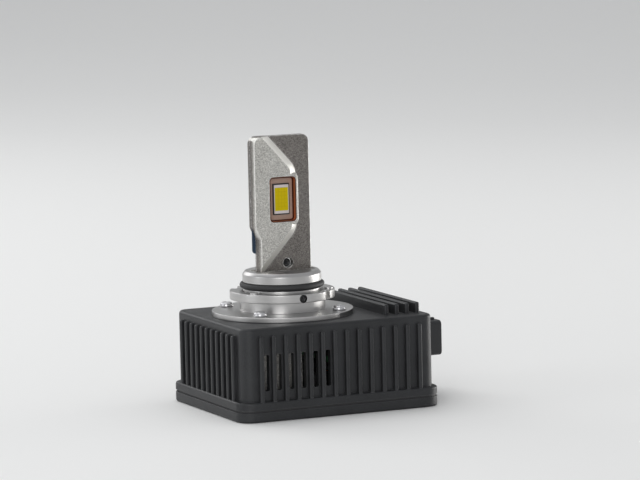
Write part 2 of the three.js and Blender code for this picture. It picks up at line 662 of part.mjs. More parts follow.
// An aluminium can capacitor with its crimped groove.
const capacitor = () =>
  turned([[0, 0], [3.1, 0], [3.1, 1.1], [2.8, 1.5], [3.1, 1.9], [3.1, 5.5], [0, 5.5]], 16);

const inductorCore = () =>
  turned([[0, 0], [5, 0], [5, 1], [2.2, 1], [2.2, 4.2], [5, 4.2], [5, 5.2], [0, 5.2]], 16);
const inductorWinding = () =>
  turned([[2.4, 1.15], [4.3, 1.15], [4.3, 4.05], [2.4, 4.05], [2.4, 1.15]], 16);

const onBoard = BOARD.top + 0.05;
place(bulb, "driver_board", driverBoard(), MATERIAL.board);
place(bulb, "inductor_core", inductorCore(), MATERIAL.dark, 15.5, -13.5, onBoard);
place(bulb, "inductor_winding", inductorWinding(), MATERIAL.copper, 15.5, -13.5, onBoard);
place(bulb, "capacitor_1", capacitor(), MATERIAL.ceramic, 24.8, -16.5, onBoard);
place(bulb, "capacitor_2", capacitor(), MATERIAL.ceramic, 32, -16.5, onBoard);
place(bulb, "mosfet_1", transistor(), MATERIAL.plastic, 20, 13, onBoard);
place(bulb, "mosfet_2", transistor(), MATERIAL.plastic, 28, 13, onBoard);
place(bulb, "controller_chip", chip(), MATERIAL.plastic, 21, -3.5, onBoard);
const thermalPad = block(16.4, 31.6, 9.8, 16.2, onBoard + 2.55, DECK.under - 0.05);
place(bulb, "driver_thermal_pad", thermalPad, MATERIAL.silicone);
screwsFromBelow("board_screw", SCREW.board, boardScrews, BOARD.bottom);

// ---------------------------------------------------------------- supply connector
const connectorFlange = { x0: BASE.right - BASE.rib + 0.35, thick: 1.6, half: 15, bottom: 10.8, top: 24.8 };
const flangeHole = (radius, [y, z]) =>
  post(radius, 0, 0, BASE.left, DEEP, 8).rotateY(Math.PI / 2).translate(0, y, z);
// A shape drawn in Y and Z, with its thickness from x0 to x1.
const plate = (shape, x0, x1) => slab(shape, -x1, -x0).rotateZ(Math.PI / 2);

function connectorShell() {
  const c = CONNECTOR;
  const tube = roundRect(2 * c.half, c.top - c.bottom, 1.4, 0, socketZ);
  const f = connectorFlange;
  const outline = roundRect(2 * f.half, f.top - f.bottom, 2, 0, socketZ);
  const cavity = roundRect(2 * (c.half - c.wall), c.top - c.bottom - 2 * c.wall, 0.6, 0, socketZ);
  const latch = block(c.mouth - 6, c.mouth - 3.5, -2.2, 2.2, c.top - 0.5, c.top + 1.1);
  const guides = [-1, 1].map((side) =>
    block(f.x0 + 1, c.mouth - 1, side * 6.2 - 0.5, side * 6.2 + 0.5, c.top - 0.5, c.top + 0.7),
  );
  const [w, t] = [PIN.half + 0.05, PIN.thick / 2 + 0.05];
  const pins = PIN_PLACES.map((y) => block(0, DEEP, y - w, y + w, PIN.z - t, PIN.z + t));
  const sleeve = plate(tube, c.back, c.mouth);
  const flange = plate(outline, f.x0, f.x0 + f.thick);
  const body = union([sleeve, flange, latch, ...guides].map(solid));
  const holes = flangeScrews.map((at) => flangeHole(1.1, at));
  return geometryOf(
    without(body, [plate(cavity, c.back + c.floor, c.mouth + 1), ...pins, ...holes].map(solid)),
  );
}

// The seal between the connector's flange and the housing wall.
function connectorSeal() {
  const f = connectorFlange;
  const c = CONNECTOR;
  const outline = roundRect(2 * f.half - 1, f.top - f.bottom - 1, 2, 0, socketZ);
  const window_ = roundRect(2 * c.half + 0.4, c.top - c.bottom + 0.4, 1.6, 0, socketZ);
  const [x0, x1] = [f.x0 - 0.3, f.x0 - 0.05];
  const cutters = [plate(window_, 0, DEEP), ...flangeScrews.map((at) => flangeHole(1.2, at))];
  return geometryOf(without(solid(plate(outline, x0, x1)), cutters.map(solid)));
}

// A blade terminal: flat in the socket, bent down at its inner end into the board.
function connectorPin() {
  const [t, tail] = [PIN.thick / 2, 0.7];
  const blade = solid(block(PIN.tail, PIN.tip, -PIN.half, PIN.half, -t, t));
  const leg = solid(block(PIN.tail, PIN.tail + PIN.thick, -tail, tail, BOARD.bottom - 0.8 - PIN.z, t));
  return geometryOf(blade.add(leg));
}

place(bulb, "connector_shell", connectorShell(), MATERIAL.plastic);
place(bulb, "connector_seal", connectorSeal(), MATERIAL.seal);
PIN_PLACES.forEach((y, i) => {
  place(bulb, `connector_pin_${i + 1}`, connectorPin(), MATERIAL.brass, 0, y, PIN.z);
});
flangeScrews.forEach(([y, z], i) => {
  const head = screw(...SCREW.connector).rotateY(Math.PI / 2);
  const seat = connectorFlange.x0 + connectorFlange.thick + SEAT;
  place(bulb, `connector_screw_${i + 1}`, head, MATERIAL.steel, seat, y, z);
});

// ---------------------------------------------------------------- LED supply leads
// Each lead rises from the driver board into a bore in the stem's foot.
[["plus", -1, MATERIAL.red], ["minus", 1, MATERIAL.dark]].forEach(([sign, side, material]) => {
  const y = side * LEAD.offset;
  const [x, low] = [LEAD.x, BOARD.top + 0.4];
  const points = [[x + 1.6, 2 * y, low], [x + 1.6, 2 * y, low + 1.2], [x + 0.9, 1.5 * y, low + 4]];
  points.push([x, y, low + 7], [x, y, 29], [x, y, REFERENCE_PLANE + 2.8]);
  place(bulb, `led_lead_${sign}`, wire(points, LEAD.radius, 9), material);
});

// ---------------------------------------------------------------- fan
const HUB = { plate: 1.2, bearing: 2, bore: 0.95, shaft: 0.75 };

// The square frame; four spokes at its top carry the bearing tube.
function fanFrame() {
  const half = FAN.size / 2;
  const { bottom: z0, top: z1 } = FAN;
  const frame = solid(raise(roundRect(FAN.size, FAN.size, 2.4), z0, z1, 3));
  const bore = solid(post(FAN.bore, 0, 0, 0, DEEP, 32));
  const pockets = [0, 1, 2, 3].map((i) =>
    solid(block(half - 1.4, half + 1, -9, 9, z0 + 1.4, z1 - 1.4).rotateZ((i * Math.PI) / 2)),
  );
  const disc = solid(post(6.6, 0, 0, z1 - HUB.plate, z1, 20));
  const spokes = [30, 150, 270].map((degrees) =>
    solid(block(5, FAN.bore + 0.6, -0.8, 0.8, z1 - HUB.plate, z1).rotateZ(THREE.MathUtils.degToRad(degrees))),
  );
  const tube = solid(post(HUB.bearing, 0, 0, z0 + 2, z1 - 0.5, 12));
  const holes = [-1, 1].flatMap((i) =>
    [-1, 1].map((j) => solid(post(1.25, (i * FAN.pitch) / 2, (j * FAN.pitch) / 2, 0, DEEP, 8))),
  );
  const body = union([without(frame, [bore, ...pockets]), disc, ...spokes, tube]);
  return geometryOf(without(body, [...holes, solid(post(HUB.bore, 0, 0, 0, z1 - 0.4, 12))]));
}

// One blade along X, from inside the hub to past the bore: it leans, twists and sweeps as it goes outwards.
function fanBlade() {
  const [inner, outer] = [FAN.hub - 1.2, FAN.bore - 0.6];
  const [thick, high] = [0.9, 6.4];
  const wing = new THREE.BoxGeometry(outer - inner, thick, high, 2, 1, 1);
  wing.translate((inner + outer) / 2 + 0.3, 0, 0);
  const upright = new THREE.Vector3(0, 0, 1);
  const p = wing.attributes.position;
  for (let k = 0; k < p.count; k++) {
    const out = p.getX(k) - FAN.hub;
    const lean = 0.85 - 0.03 * out;
    const [y, z] = [p.getY(k), p.getZ(k)];
    const tilted = new THREE.Vector3(
      p.getX(k),
      y * Math.cos(lean) - z * Math.sin(lean),
      y * Math.sin(lean) + z * Math.cos(lean),
    );
    tilted.applyAxisAngle(upright, 0.055 * out);
    p.setXYZ(k, tilted.x, tilted.y, tilted.z);
  }
  return wing;
}

// A cup over the stator, with blades round it.
function fanImpeller() {
  const z0 = FAN.bottom + 0.5;
  const z1 = FAN.top - HUB.plate - 0.45;
  const cup = turned(
    [
      [HUB.shaft + 0.03, z0],
      [FAN.hub, z0],
      [FAN.hub, z1],
      [FAN.hub - 0.9, z1],
      [FAN.hub - 0.9, z0 + 1],
      [HUB.shaft + 0.03, z0 + 1],
      [HUB.shaft + 0.03, z0],
    ],
    24,
  );
  const blades = Array.from({ length: FAN.blades }, (_, i) =>
    solid(fanBlade().translate(0, 0, (z0 + z1) / 2).rotateZ((2 * Math.PI * i) / FAN.blades)),
  );
  const reach = solid(ring(FAN.hub - 0.5, FAN.bore - 0.5, z0 + 0.2, z1, 28));
  return geometryOf(solid(cup).add(union(blades).intersect(reach)));
}

// The wound stator: a coil ring with four pole tips round the bearing tube.
function fanStator() {
  const z0 = FAN.bottom + 2.4;
  const z1 = FAN.top - HUB.plate - 0.1;
  const core = solid(ring(HUB.bearing + 0.1, 3.6, z0 + 0.6, z1, 12));
  const poles = [0, 90, 180, 270].map((degrees) =>
    solid(block(3, 6, -1.4, 1.4, z0 + 1, z1 - 0.6).rotateZ(THREE.MathUtils.degToRad(degrees + 45))),
  );
  return geometryOf(union([core, ...poles]));
}

const shaft = () => post(HUB.shaft, 0, 0, FAN.bottom + 0.3, FAN.top - 0.6, 12);
place(bulb, "fan_frame", fanFrame(), MATERIAL.plastic, FAN.x);
place(bulb, "fan_impeller", fanImpeller(), MATERIAL.plastic, FAN.x);
place(bulb, "fan_shaft", shaft(), MATERIAL.steel, FAN.x);
place(bulb, "fan_stator", fanStator(), MATERIAL.copper, FAN.x);
screwsFromBelow("fan_screw", SCREW.fan, fanCorners, COUNTERBORE.fan);

export default bulb;
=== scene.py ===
# LED headlight bulb in the shape of a D-type gas-discharge lamp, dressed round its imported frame.
# The frame is in metres, +Z up along the lamp axis. New pieces are drawn in millimetres and scaled when
# they are added.
import json
import math

import bmesh
import bpy
from mathutils import Matrix, Vector


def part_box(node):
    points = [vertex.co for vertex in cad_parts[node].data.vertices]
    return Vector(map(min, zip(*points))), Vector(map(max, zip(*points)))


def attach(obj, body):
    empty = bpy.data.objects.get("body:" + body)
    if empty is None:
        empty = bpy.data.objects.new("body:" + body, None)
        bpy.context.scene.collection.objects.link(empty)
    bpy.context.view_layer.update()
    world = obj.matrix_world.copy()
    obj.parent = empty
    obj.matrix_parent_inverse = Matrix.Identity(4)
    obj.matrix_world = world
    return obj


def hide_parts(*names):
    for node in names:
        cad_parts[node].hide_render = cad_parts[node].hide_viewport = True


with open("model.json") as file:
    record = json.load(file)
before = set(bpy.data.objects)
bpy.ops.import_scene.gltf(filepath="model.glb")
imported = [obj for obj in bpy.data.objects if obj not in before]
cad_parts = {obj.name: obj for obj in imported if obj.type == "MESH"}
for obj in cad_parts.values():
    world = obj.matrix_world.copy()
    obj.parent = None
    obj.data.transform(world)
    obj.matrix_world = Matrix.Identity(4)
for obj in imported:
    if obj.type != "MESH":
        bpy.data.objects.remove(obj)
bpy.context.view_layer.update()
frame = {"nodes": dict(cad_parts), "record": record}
MM = 0.001
nodes = frame["nodes"]
scene = bpy.context.scene
RIGHT_ANGLE = math.pi / 2


def box_mm(node):
    """Lowest and highest corners of a CAD node, in millimetres."""
    low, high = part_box(node)
    return low / MM, high / MM


# ------------ camera
LIGHT_CENTRE = 63.1  # height of the light centre above the underside, mm
VIEW = {"azimuth": -24.0, "elevation": 7.0, "roll": -1.3}
CAMERA = {"distance": 1.29, "lens": 239.6, "sensor": 36.0, "near": 0.05, "far": 30.0}
LAMP_IN_VIEW = {"right": -0.01164, "up": 0.01239}  # of the middle of the picture, m
LAMP_FRONT = -1.2  # the LED's front face, mm


def make_camera():
    """Looks along VIEW, with the light centre a little left of and above the middle of the picture."""
    azimuth, elevation = math.radians(VIEW["azimuth"]), math.radians(VIEW["elevation"])
    back = Vector((
        math.sin(azimuth) * math.cos(elevation),
        -math.cos(azimuth) * math.cos(elevation),
        math.sin(elevation),
    ))
    roll = Matrix.Rotation(math.radians(VIEW["roll"]), 3, "Z")
    turn = (-back).to_track_quat("-Z", "Y").to_matrix() @ roll
    data = bpy.data.cameras.new("camera")
    data.sensor_width, data.lens = CAMERA["sensor"], CAMERA["lens"]
    data.clip_start, data.clip_end = CAMERA["near"], CAMERA["far"]
    camera = bpy.data.objects.new("camera", data)
    scene.collection.objects.link(camera)
    lamp = Vector((LAMP_IN_VIEW["right"], LAMP_IN_VIEW["up"], -CAMERA["distance"]))
    front_face = Vector((0, LAMP_FRONT * MM, LIGHT_CENTRE * MM))
    camera.matrix_world = Matrix.Translation(front_face - turn @ lamp) @ turn.to_4x4()
    scene.camera = camera


make_camera()

# ------------ light and floor
scene.view_settings.view_transform = "Standard"
scene.view_settings.look = "None"
scene.view_settings.exposure = 0.0
FOCUS = Vector((0.005, 0, 0.045))
SURROUND = {"colour": (0.83, 0.84, 0.86, 1), "strength": 0.62}


def area_light(name, place, size, watts, colour=(1, 1, 1)):
    """A lamp that faces FOCUS and stays unseen."""
    data = bpy.data.lights.new(name, "AREA")
    data.shape = "RECTANGLE"
    data.size, data.size_y = size
    data.energy = watts
    data.color = colour
    light = bpy.data.objects.new(name, data)
    scene.collection.objects.link(light)
    light.location = place
    light.visible_camera = False
    light.rotation_euler = (FOCUS - Vector(place)).to_track_quat("-Z", "Y").to_euler()


area_light("right_panel", (0.85, 0.05, 0.03), (0.45, 0.16), 4.6, (1, 0.985, 0.96))
area_light("left_panel", (-0.85, 0.1, 0.25), (0.3, 0.45), 0.9, (0.97, 0.985, 1))
area_light("front_panel", (-0.55, -0.95, 0.35), (0.5, 0.4), 3.0)
area_light("top_panel", (-0.1, 0.35, 1.0), (0.8, 0.8), 3.0)
area_light("back_panel", (-0.35, 0.9, 0.5), (0.6, 0.5), 2.0)

world = bpy.data.worlds.new("studio")
scene.world = world
world.use_nodes = True
world.node_tree.nodes["Background"].inputs["Color"].default_value = SURROUND["colour"]
world.node_tree.nodes["Background"].inputs["Strength"].default_value = SURROUND["strength"]


def make_stage():
    """A pale floor that sweeps up behind, square to the view."""
    width, front, back, radius, height, steps = 10.0, -4.0, 0.9, 2.5, 5.0, 24
    profile = [(front, 0.0), (back, 0.0)]
    for i in range(1, steps + 1):
        a = RIGHT_ANGLE * i / steps
        profile.append((back + radius * math.sin(a), radius * (1 - math.cos(a))))
    profile.append((back + radius, height))
    mesh = bpy.data.meshes.new("floor")
    verts = [(x, y, z - 0.1 * MM) for y, z in profile for x in (-width / 2, width / 2)]
    faces = [(2 * i, 2 * i + 1, 2 * i + 3, 2 * i + 2) for i in range(len(profile) - 1)]
    mesh.from_pydata(verts, [], faces)
    mesh.shade_smooth()
    floor = bpy.data.objects.new("floor", mesh)
    scene.collection.objects.link(floor)
    floor.rotation_euler.z = math.radians(VIEW["azimuth"])
    material = bpy.data.materials.new("floor")
    material.use_nodes = True
    shader = material.node_tree.nodes["Principled BSDF"]
    shader.inputs["Base Color"].default_value = (0.88, 0.88, 0.87, 1)
    shader.inputs["Roughness"].default_value = 0.7
    mesh.materials.append(material)


make_stage()

# ------------ materials


class Looks:
    """Builds one procedural material; every texture is read in the model's own metres."""

    def __init__(self, name):
        self.material = bpy.data.materials.new(name)
        self.material.use_nodes = True
        self.tree = self.material.node_tree
        self.shader = self.tree.nodes["Principled BSDF"]
        self.position = self.node("ShaderNodeTexCoord").outputs["Object"]

    def node(self, kind, **values):
        made = self.tree.nodes.new(kind)
        for key, value in values.items():
            setattr(made, key, value)
        return made

    def link(self, source, target):
        self.tree.links.new(source, target)

    def constant(self, **values):
        for key, value in values.items():
            self.shader.inputs[key.replace("_", " ")].default_value = value

    def noise(self, size_mm, detail=2.0, rough=0.5, coords=None):
        made = self.node("ShaderNodeTexNoise")
        made.inputs["Scale"].default_value = 1 / (size_mm * MM)
        made.inputs["Detail"].default_value = detail
        made.inputs["Roughness"].default_value = rough
        self.link(coords or self.position, made.inputs["Vector"])
        return made.outputs["Fac"]

    def cells(self, size_mm):
        """A random value for each small cell, as the facets of a blasted surface have."""
        made = self.node("ShaderNodeTexVoronoi")
        made.inputs["Scale"].default_value = 1 / (size_mm * MM)
        self.link(self.position, made.inputs["Vector"])
        split = self.node("ShaderNodeSeparateColor")
        self.link(made.outputs["Color"], split.inputs[0])
        return split.outputs[0]

    def axes(self):
        split = self.node("ShaderNodeSeparateXYZ")
        self.link(self.position, split.inputs[0])
        return split.outputs

    def rings(self):
        """Radius and height about the lamp axis, so that a texture runs in circles as a lathe leaves it."""
        x, y, z = self.axes()
        flat = self.node("ShaderNodeCombineXYZ")
        self.link(x, flat.inputs[0])
        self.link(y, flat.inputs[1])
        length = self.node("ShaderNodeVectorMath", operation="LENGTH")
        self.link(flat.outputs[0], length.inputs[0])
        both = self.node("ShaderNodeCombineXYZ")
        self.link(length.outputs["Value"], both.inputs[0])
        self.link(z, both.inputs[2])
        return both.outputs[0]

    def ramp(self, source, low, high, out_low=0.0, out_high=1.0):
        made = self.node("ShaderNodeMapRange")
        for socket, value in zip(made.inputs[1:5], (low, high, out_low, out_high)):
            socket.default_value = value
        self.link(source, made.inputs[0])
        return made.outputs[0]

    def blend(self, factor, first, second):
        made = self.node("ShaderNodeMix", data_type="RGBA")
        self.link(factor, made.inputs[0])
        for socket, value in ((made.inputs[6], first), (made.inputs[7], second)):
            if isinstance(value, bpy.types.NodeSocket):
                self.link(value, socket)
            else:
                socket.default_value = (*value, 1)
        return made.outputs[2]

    def maths(self, operation, first, second=0.0):
        made = self.node("ShaderNodeMath", operation=operation)
        for socket, value in zip(made.inputs, (first, second)):
            if isinstance(value, bpy.types.NodeSocket):
                self.link(value, socket)
            else:
                socket.default_value = value
        return made.outputs[0]

    def slopes(self):
        """1 on faces that slope to two or three of the model's axes, and 0 on upright and level ones."""
        split = self.node("ShaderNodeSeparateXYZ")
        self.link(self.node("ShaderNodeTexCoord").outputs["Normal"], split.inputs[0])
        x, y, z = (self.maths("ABSOLUTE", axis) for axis in split.outputs)
        return self.ramp(self.maths("MAXIMUM", self.maths("MAXIMUM", x, y), z), 0.9, 0.84)

    def edges(self, radius_mm, dull=0.995, bright=0.85):
        """1 on sharp edges and 0 on flats."""
        bevel = self.node("ShaderNodeBevel", samples=4)
        bevel.inputs["Radius"].default_value = radius_mm * MM
        true = self.node("ShaderNodeNewGeometry")
        dot = self.node("ShaderNodeVectorMath", operation="DOT_PRODUCT")
        self.link(bevel.outputs[0], dot.inputs[0])
        self.link(true.outputs["Normal"], dot.inputs[1])
        return self.ramp(dot.outputs["Value"], dull, bright)

    def bump(self, height, strength, depth_mm):
        made = self.node("ShaderNodeBump")
        made.inputs["Strength"].default_value = strength
        made.inputs["Distance"].default_value = depth_mm * MM
        self.link(height, made.inputs["Height"])
        self.link(made.outputs[0], self.shader.inputs["Normal"])

    def colour(self, source):
        self.link(source, self.shader.inputs["Base Color"])

    def roughness(self, source):
        self.link(source, self.shader.inputs["Roughness"])


def scaled(colour, factor):
    return tuple(min(1.0, c * factor) for c in colour)


def worn_edges(looks, shade, edge):
    """Mixes an edge colour in along sharp edges, broken up by a noise."""
    broken = looks.ramp(looks.noise(1.3), 0.3, 0.6, 0.45, 1.0)
    return looks.blend(looks.maths("MULTIPLY", looks.edges(0.25), broken), shade, edge)


def grained(name, base, *, metallic, rough, grain, depth, vary=0.15, edge=None, rings=False):
    """A surface with a fine grain and slow changes of tone; edge gives its sharp edges another colour."""
    looks = Looks(name)
    coords = looks.rings() if rings else None
    fine = looks.noise(grain, 3.0, 0.6, coords)
    broad = looks.noise(9.0)
    tone = looks.maths("ADD", looks.maths("MULTIPLY", fine, 0.6), looks.maths("MULTIPLY", broad, 0.4))
    shade = looks.blend(looks.ramp(tone, 0.35, 0.65), scaled(base, 1 - vary), scaled(base, 1 + vary))
    looks.colour(worn_edges(looks, shade, edge) if edge else shade)
    looks.roughness(looks.ramp(tone, 0.3, 0.7, rough - 0.07, rough + 0.07))
    looks.bump(fine, 0.6, depth)
    looks.constant(Metallic=metallic)
    return looks.material


def blasted_look():
    """Grit-blasted die-cast aluminium: fine facets, raised faces in a lit tone, painted shade on the
    recessed flank, a painted highlight on the step walls, and worn edges with a painted highlight.
    """
    looks = Looks("blasted_aluminium")
    facets = looks.cells(0.2)
    fine = looks.noise(0.2, 3.0, 0.65)
    broad = looks.ramp(looks.noise(7.0), 0.35, 0.65)
    tone = looks.maths("ADD", looks.maths("MULTIPLY", facets, 0.3), looks.maths("MULTIPLY", fine, 0.7))
    sparkle = looks.ramp(tone, 0.32, 0.7)
    # Painted shade: within 1.3 mm of the middle plane (Y), on the blade's recessed flank and the inner part
    # of its side walls, the darker tone stands in for shade. It fades to the lit tone of the raised face by
    # 2.4 mm.
    painted_shade_recess = looks.blend(broad, (0.092, 0.084, 0.078), (0.125, 0.115, 0.108))
    painted_shade_recess = looks.blend(sparkle, painted_shade_recess, (0.31, 0.29, 0.27))
    face = looks.blend(broad, (0.29, 0.28, 0.262), (0.375, 0.365, 0.342))
    face = looks.blend(sparkle, face, (0.76, 0.75, 0.71))
    outward = looks.maths("ABSOLUTE", looks.axes()[1])
    shade = looks.blend(looks.ramp(outward, 1.3 * MM, 2.4 * MM), painted_shade_recess, face)
    # Painted highlight: faces that slope to two or more axes, the walls of the step, are blended towards
    # near white.
    shade = looks.blend(looks.maths("MULTIPLY", looks.slopes(), 0.8), shade, (0.88, 0.87, 0.83))
    # Worn edges with a painted highlight: sharp edges are blended to near white, broken up by a noise.
    broken = looks.ramp(looks.noise(0.55, 3.0, 0.6), 0.4, 0.6, 0.15, 1.0)
    edge = looks.maths("MULTIPLY", looks.edges(0.32, 0.998, 0.94), broken)
    looks.colour(looks.blend(edge, shade, (0.95, 0.94, 0.92)))
    looks.roughness(looks.ramp(tone, 0.25, 0.8, 0.56, 0.40))
    looks.bump(tone, 1.0, 0.07)
    looks.constant(Metallic=1.0)
    return looks.material


def copper_look():
    """Bright copper walls, darker brown along their rim, and painted shade down in the corner with the LED
    board.
    """
    looks = Looks("copper")
    speck = looks.noise(0.35, 3.0, 0.6)
    bright = looks.blend(looks.ramp(speck, 0.35, 0.65), (0.76, 0.25, 0.09), (0.93, 0.37, 0.15))
    # The brown tone serves both the rim's darker top and the painted shade in the corner by the LED board.
    brown_rim_and_painted_shade = looks.blend(looks.ramp(speck, 0.35, 0.65), (0.085, 0.036, 0.025), (0.15, 0.06, 0.04))
    outward = looks.maths("ABSOLUTE", looks.axes()[1])
    rim = looks.ramp(outward, 2.28 * MM, 2.36 * MM)
    # Painted shade: corner darkens the walls fully within 0.7 mm of the middle plane, where they meet the
    # LED board, and fades out by 1.25 mm.
    corner = looks.ramp(outward, 1.25 * MM, 0.7 * MM)
    looks.colour(looks.blend(looks.maths("MAXIMUM", rim, corner), bright, brown_rim_and_painted_shade))
    looks.roughness(looks.ramp(speck, 0.3, 0.7, 0.30, 0.44))
    looks.bump(speck, 0.5, 0.015)
    looks.constant(Metallic=1.0)
    return looks.material


PHOSPHOR = {"width": 4.3, "height": 7.0, "columns": 4, "rows": 6, "border": 0.16}


def phosphor_look():
    """Yellow silicone over a grid of chips, a little paler along its border."""
    looks = Looks("phosphor")
    x, _, z = looks.axes()
    up = looks.maths("SUBTRACT", z, LIGHT_CENTRE * MM)
    lines, border = None, None
    across = (x, PHOSPHOR["width"], PHOSPHOR["columns"])
    along = (up, PHOSPHOR["height"], PHOSPHOR["rows"])
    for axis, size, count in (across, along):
        pitch = (size - 2 * PHOSPHOR["border"]) / count
        cell = looks.maths("PINGPONG", axis, pitch / 2 * MM)
        line = looks.ramp(cell, 0.04 * MM, 0.12 * MM, 1.0, 0.0)
        lines = line if lines is None else looks.maths("MAXIMUM", lines, line)
        rim = size / 2 - PHOSPHOR["border"]
        side = looks.ramp(looks.maths("ABSOLUTE", axis), (rim - 0.1) * MM, (rim + 0.05) * MM)
        border = side if border is None else looks.maths("MAXIMUM", border, side)
    speck = looks.noise(0.12, 2.0, 0.6)
    yellow = looks.blend(looks.ramp(speck, 0.35, 0.65), (0.50, 0.385, 0.001), (0.62, 0.48, 0.002))
    gridded = looks.blend(looks.maths("MULTIPLY", lines, 0.3), yellow, (0.38, 0.29, 0.002))
    looks.colour(looks.blend(looks.maths("MULTIPLY", border, 0.6), gridded, (0.66, 0.58, 0.01)))
    looks.roughness(looks.ramp(speck, 0.3, 0.7, 0.45, 0.6))
    looks.constant(Specular_IOR_Level=0.12)
    looks.bump(looks.maths("SUBTRACT", looks.maths("MULTIPLY", speck, 0.3), lines), 0.4, 0.05)
    return looks.material


def board_look():
    """Green solder mask with the tracks showing through as lighter lines."""
    looks = Looks("circuit_board")
    brick = looks.node("ShaderNodeTexBrick")
    brick.inputs["Scale"].default_value = 1 / (6 * MM)
    brick.inputs["Mortar Size"].default_value = 0.06
    looks.link(looks.position, brick.inputs["Vector"])
    speck = looks.noise(0.5)
    mask = looks.blend(looks.ramp(speck, 0.3, 0.7), (0.010, 0.085, 0.030), (0.016, 0.11, 0.04))
    looks.colour(looks.blend(brick.outputs["Fac"], mask, (0.05, 0.2, 0.08)))
    looks.roughness(looks.ramp(speck, 0.3, 0.7, 0.25, 0.4))
    looks.bump(brick.outputs["Fac"], 0.4, 0.05)
    return looks.material


def metal(name, base, rough, grain, depth, **more):
    return grained(name, base, metallic=1.0, rough=rough, grain=grain, depth=depth, **more)


def plain(name, base, rough, grain, depth, **more):
    return grained(name, base, metallic=0.0, rough=rough, grain=grain, depth=depth, **more)


LOOK = {
    "blasted_aluminium": blasted_look(),
    "turned_aluminium": metal(
        "turned_aluminium", (0.47, 0.465, 0.46), 0.33, 0.22, 0.012, vary=0.1, edge=(0.85, 0.85, 0.84),
        rings=True,
    ),
    "black_anodised": grained(
        "black_anodised", (0.024, 0.025, 0.027), metallic=0.35, rough=0.46, grain=0.3, depth=0.04, vary=0.3,
        edge=(0.10, 0.10, 0.105),
    ),
    "copper": copper_look(),
    "thermal_silicone": plain("thermal_silicone", (0.012, 0.032, 0.065), 0.55, 0.3, 0.02, vary=0.3),
    "seal_rubber": plain("seal_rubber", (0.022, 0.022, 0.023), 0.62, 0.25, 0.015),
    "black_steel": grained(
        "black_steel", (0.035, 0.035, 0.037), metallic=0.8, rough=0.4, grain=0.2, depth=0.01,
        edge=(0.25, 0.25, 0.25),
    ),
    "bright_steel": metal(
        "bright_steel", (0.58, 0.58, 0.59), 0.3, 0.3, 0.008, vary=0.12, edge=(0.8, 0.8, 0.8),
    ),
    "circuit_board": board_look(),
    "ferrite": plain("ferrite", (0.045, 0.045, 0.048), 0.55, 0.3, 0.02),
    "chip_resin": plain("chip_resin", (0.018, 0.018, 0.02), 0.5, 0.15, 0.015),
    "connector_plastic": plain(
        "connector_plastic", (0.017, 0.018, 0.02), 0.42, 0.3, 0.02, vary=0.2, edge=(0.045, 0.046, 0.05),
    ),
    "red_insulation": plain("red_insulation", (0.42, 0.02, 0.02), 0.4, 0.4, 0.01),
    "black_insulation": plain("black_insulation", (0.02, 0.02, 0.02), 0.4, 0.4, 0.01),
    "led_board": plain("led_board", (0.37, 0.265, 0.215), 0.5, 0.2, 0.012, vary=0.14),
    "led_ceramic": plain("led_ceramic", (0.60, 0.55, 0.545), 0.45, 0.1, 0.006, vary=0.06),
    "phosphor": phosphor_look(),
    "can_aluminium": metal("can_aluminium", (0.62, 0.62, 0.62), 0.3, 0.5, 0.01),
    "tinned_brass": metal("tinned_brass", (0.7, 0.62, 0.42), 0.28, 0.3, 0.008),
}
SLOT = {s["node"]: s["material_slot"] for s in frame["record"]["subparts"]}
BODY = {node: body for body, members in frame["record"]["behaviour"]["bodies"].items() for node in members}

# ------------ mesh tools, in millimetres
SHARP = 50.0  # degrees between two faces of a drawn piece whose edge stays sharp


def skin(rings, closed=False):
    """A closed mesh through rings of as many points each, or of one point as a tip. Wide ends are capped."""
    bm = bmesh.new()
    rows = [[bm.verts.new(p) for p in ring] for ring in rings]
    pairs = list(zip(rows, rows[1:]))
    if closed:
        pairs.append((rows[-1], rows[0]))
    for low, high in pairs:
        count = max(len(low), len(high))
        for i in range(count):
            j = (i + 1) % count
            corners = [low[i % len(low)], low[j % len(low)], high[j % len(high)], high[i % len(high)]]
            bm.faces.new(dict.fromkeys(corners))
    if not closed:
        for row in (rows[0], rows[-1]):
            if len(row) > 2:
                bm.faces.new(row)
    bmesh.ops.recalc_face_normals(bm, faces=bm.faces[:])
    mesh = bpy.data.meshes.new("drawn")
    bm.to_mesh(mesh)
    bm.free()
    return mesh


def filleted(profile, radius, steps=4, closed=False):
    """A profile of (r, z) points with its corners rounded. An open profile keeps its two ends."""
    points = [Vector(p) for p in profile]
    if closed:
        triples = zip(points[-1:] + points[:-1], points, points[1:] + points[:1])
    else:
        triples = zip(points, points[1:], points[2:])
    rounded = []
    for before, corner, after in triples:
        a, b = before - corner, after - corner
        reach = min(radius, 0.45 * a.length, 0.45 * b.length)
        start, end = corner + a.normalized() * reach, corner + b.normalized() * reach
        for k in range(steps + 1):
            t = k / steps
            rounded.append((1 - t) ** 2 * start + 2 * t * (1 - t) * corner + t * t * end)
    return rounded if closed else [points[0], *rounded, points[-1]]


def round_ring(radius, z, sides):
    """A circle as a ring of points, or one point where the radius is 0."""
    if radius <= 0:
        return [(0, 0, z)]
    angles = (2 * math.pi * i / sides for i in range(sides))
    return [(radius * math.cos(a), radius * math.sin(a), z) for a in angles]


def hexagon_ring(half_width, z, sides):
    """A hexagon as a ring of points, given half its width over flats; sides is a multiple of six."""
    ring = []
    for i in range(sides):
        a = 2 * math.pi * i / sides
        r = half_width / math.cos(a % (math.pi / 3) - math.pi / 6)
        ring.append((r * math.cos(a), r * math.sin(a), z))
    return ring


def turned(profile, sides, closed=False):
    """A profile of (r, z) points turned about Z."""
    return skin([round_ring(r, z, sides) for r, z in profile], closed)


def rod(radius, z0, z1, sides=32):
    """A cylinder on Z."""
    return turned([(0, z0), (radius, z0), (radius, z1), (0, z1)], sides)


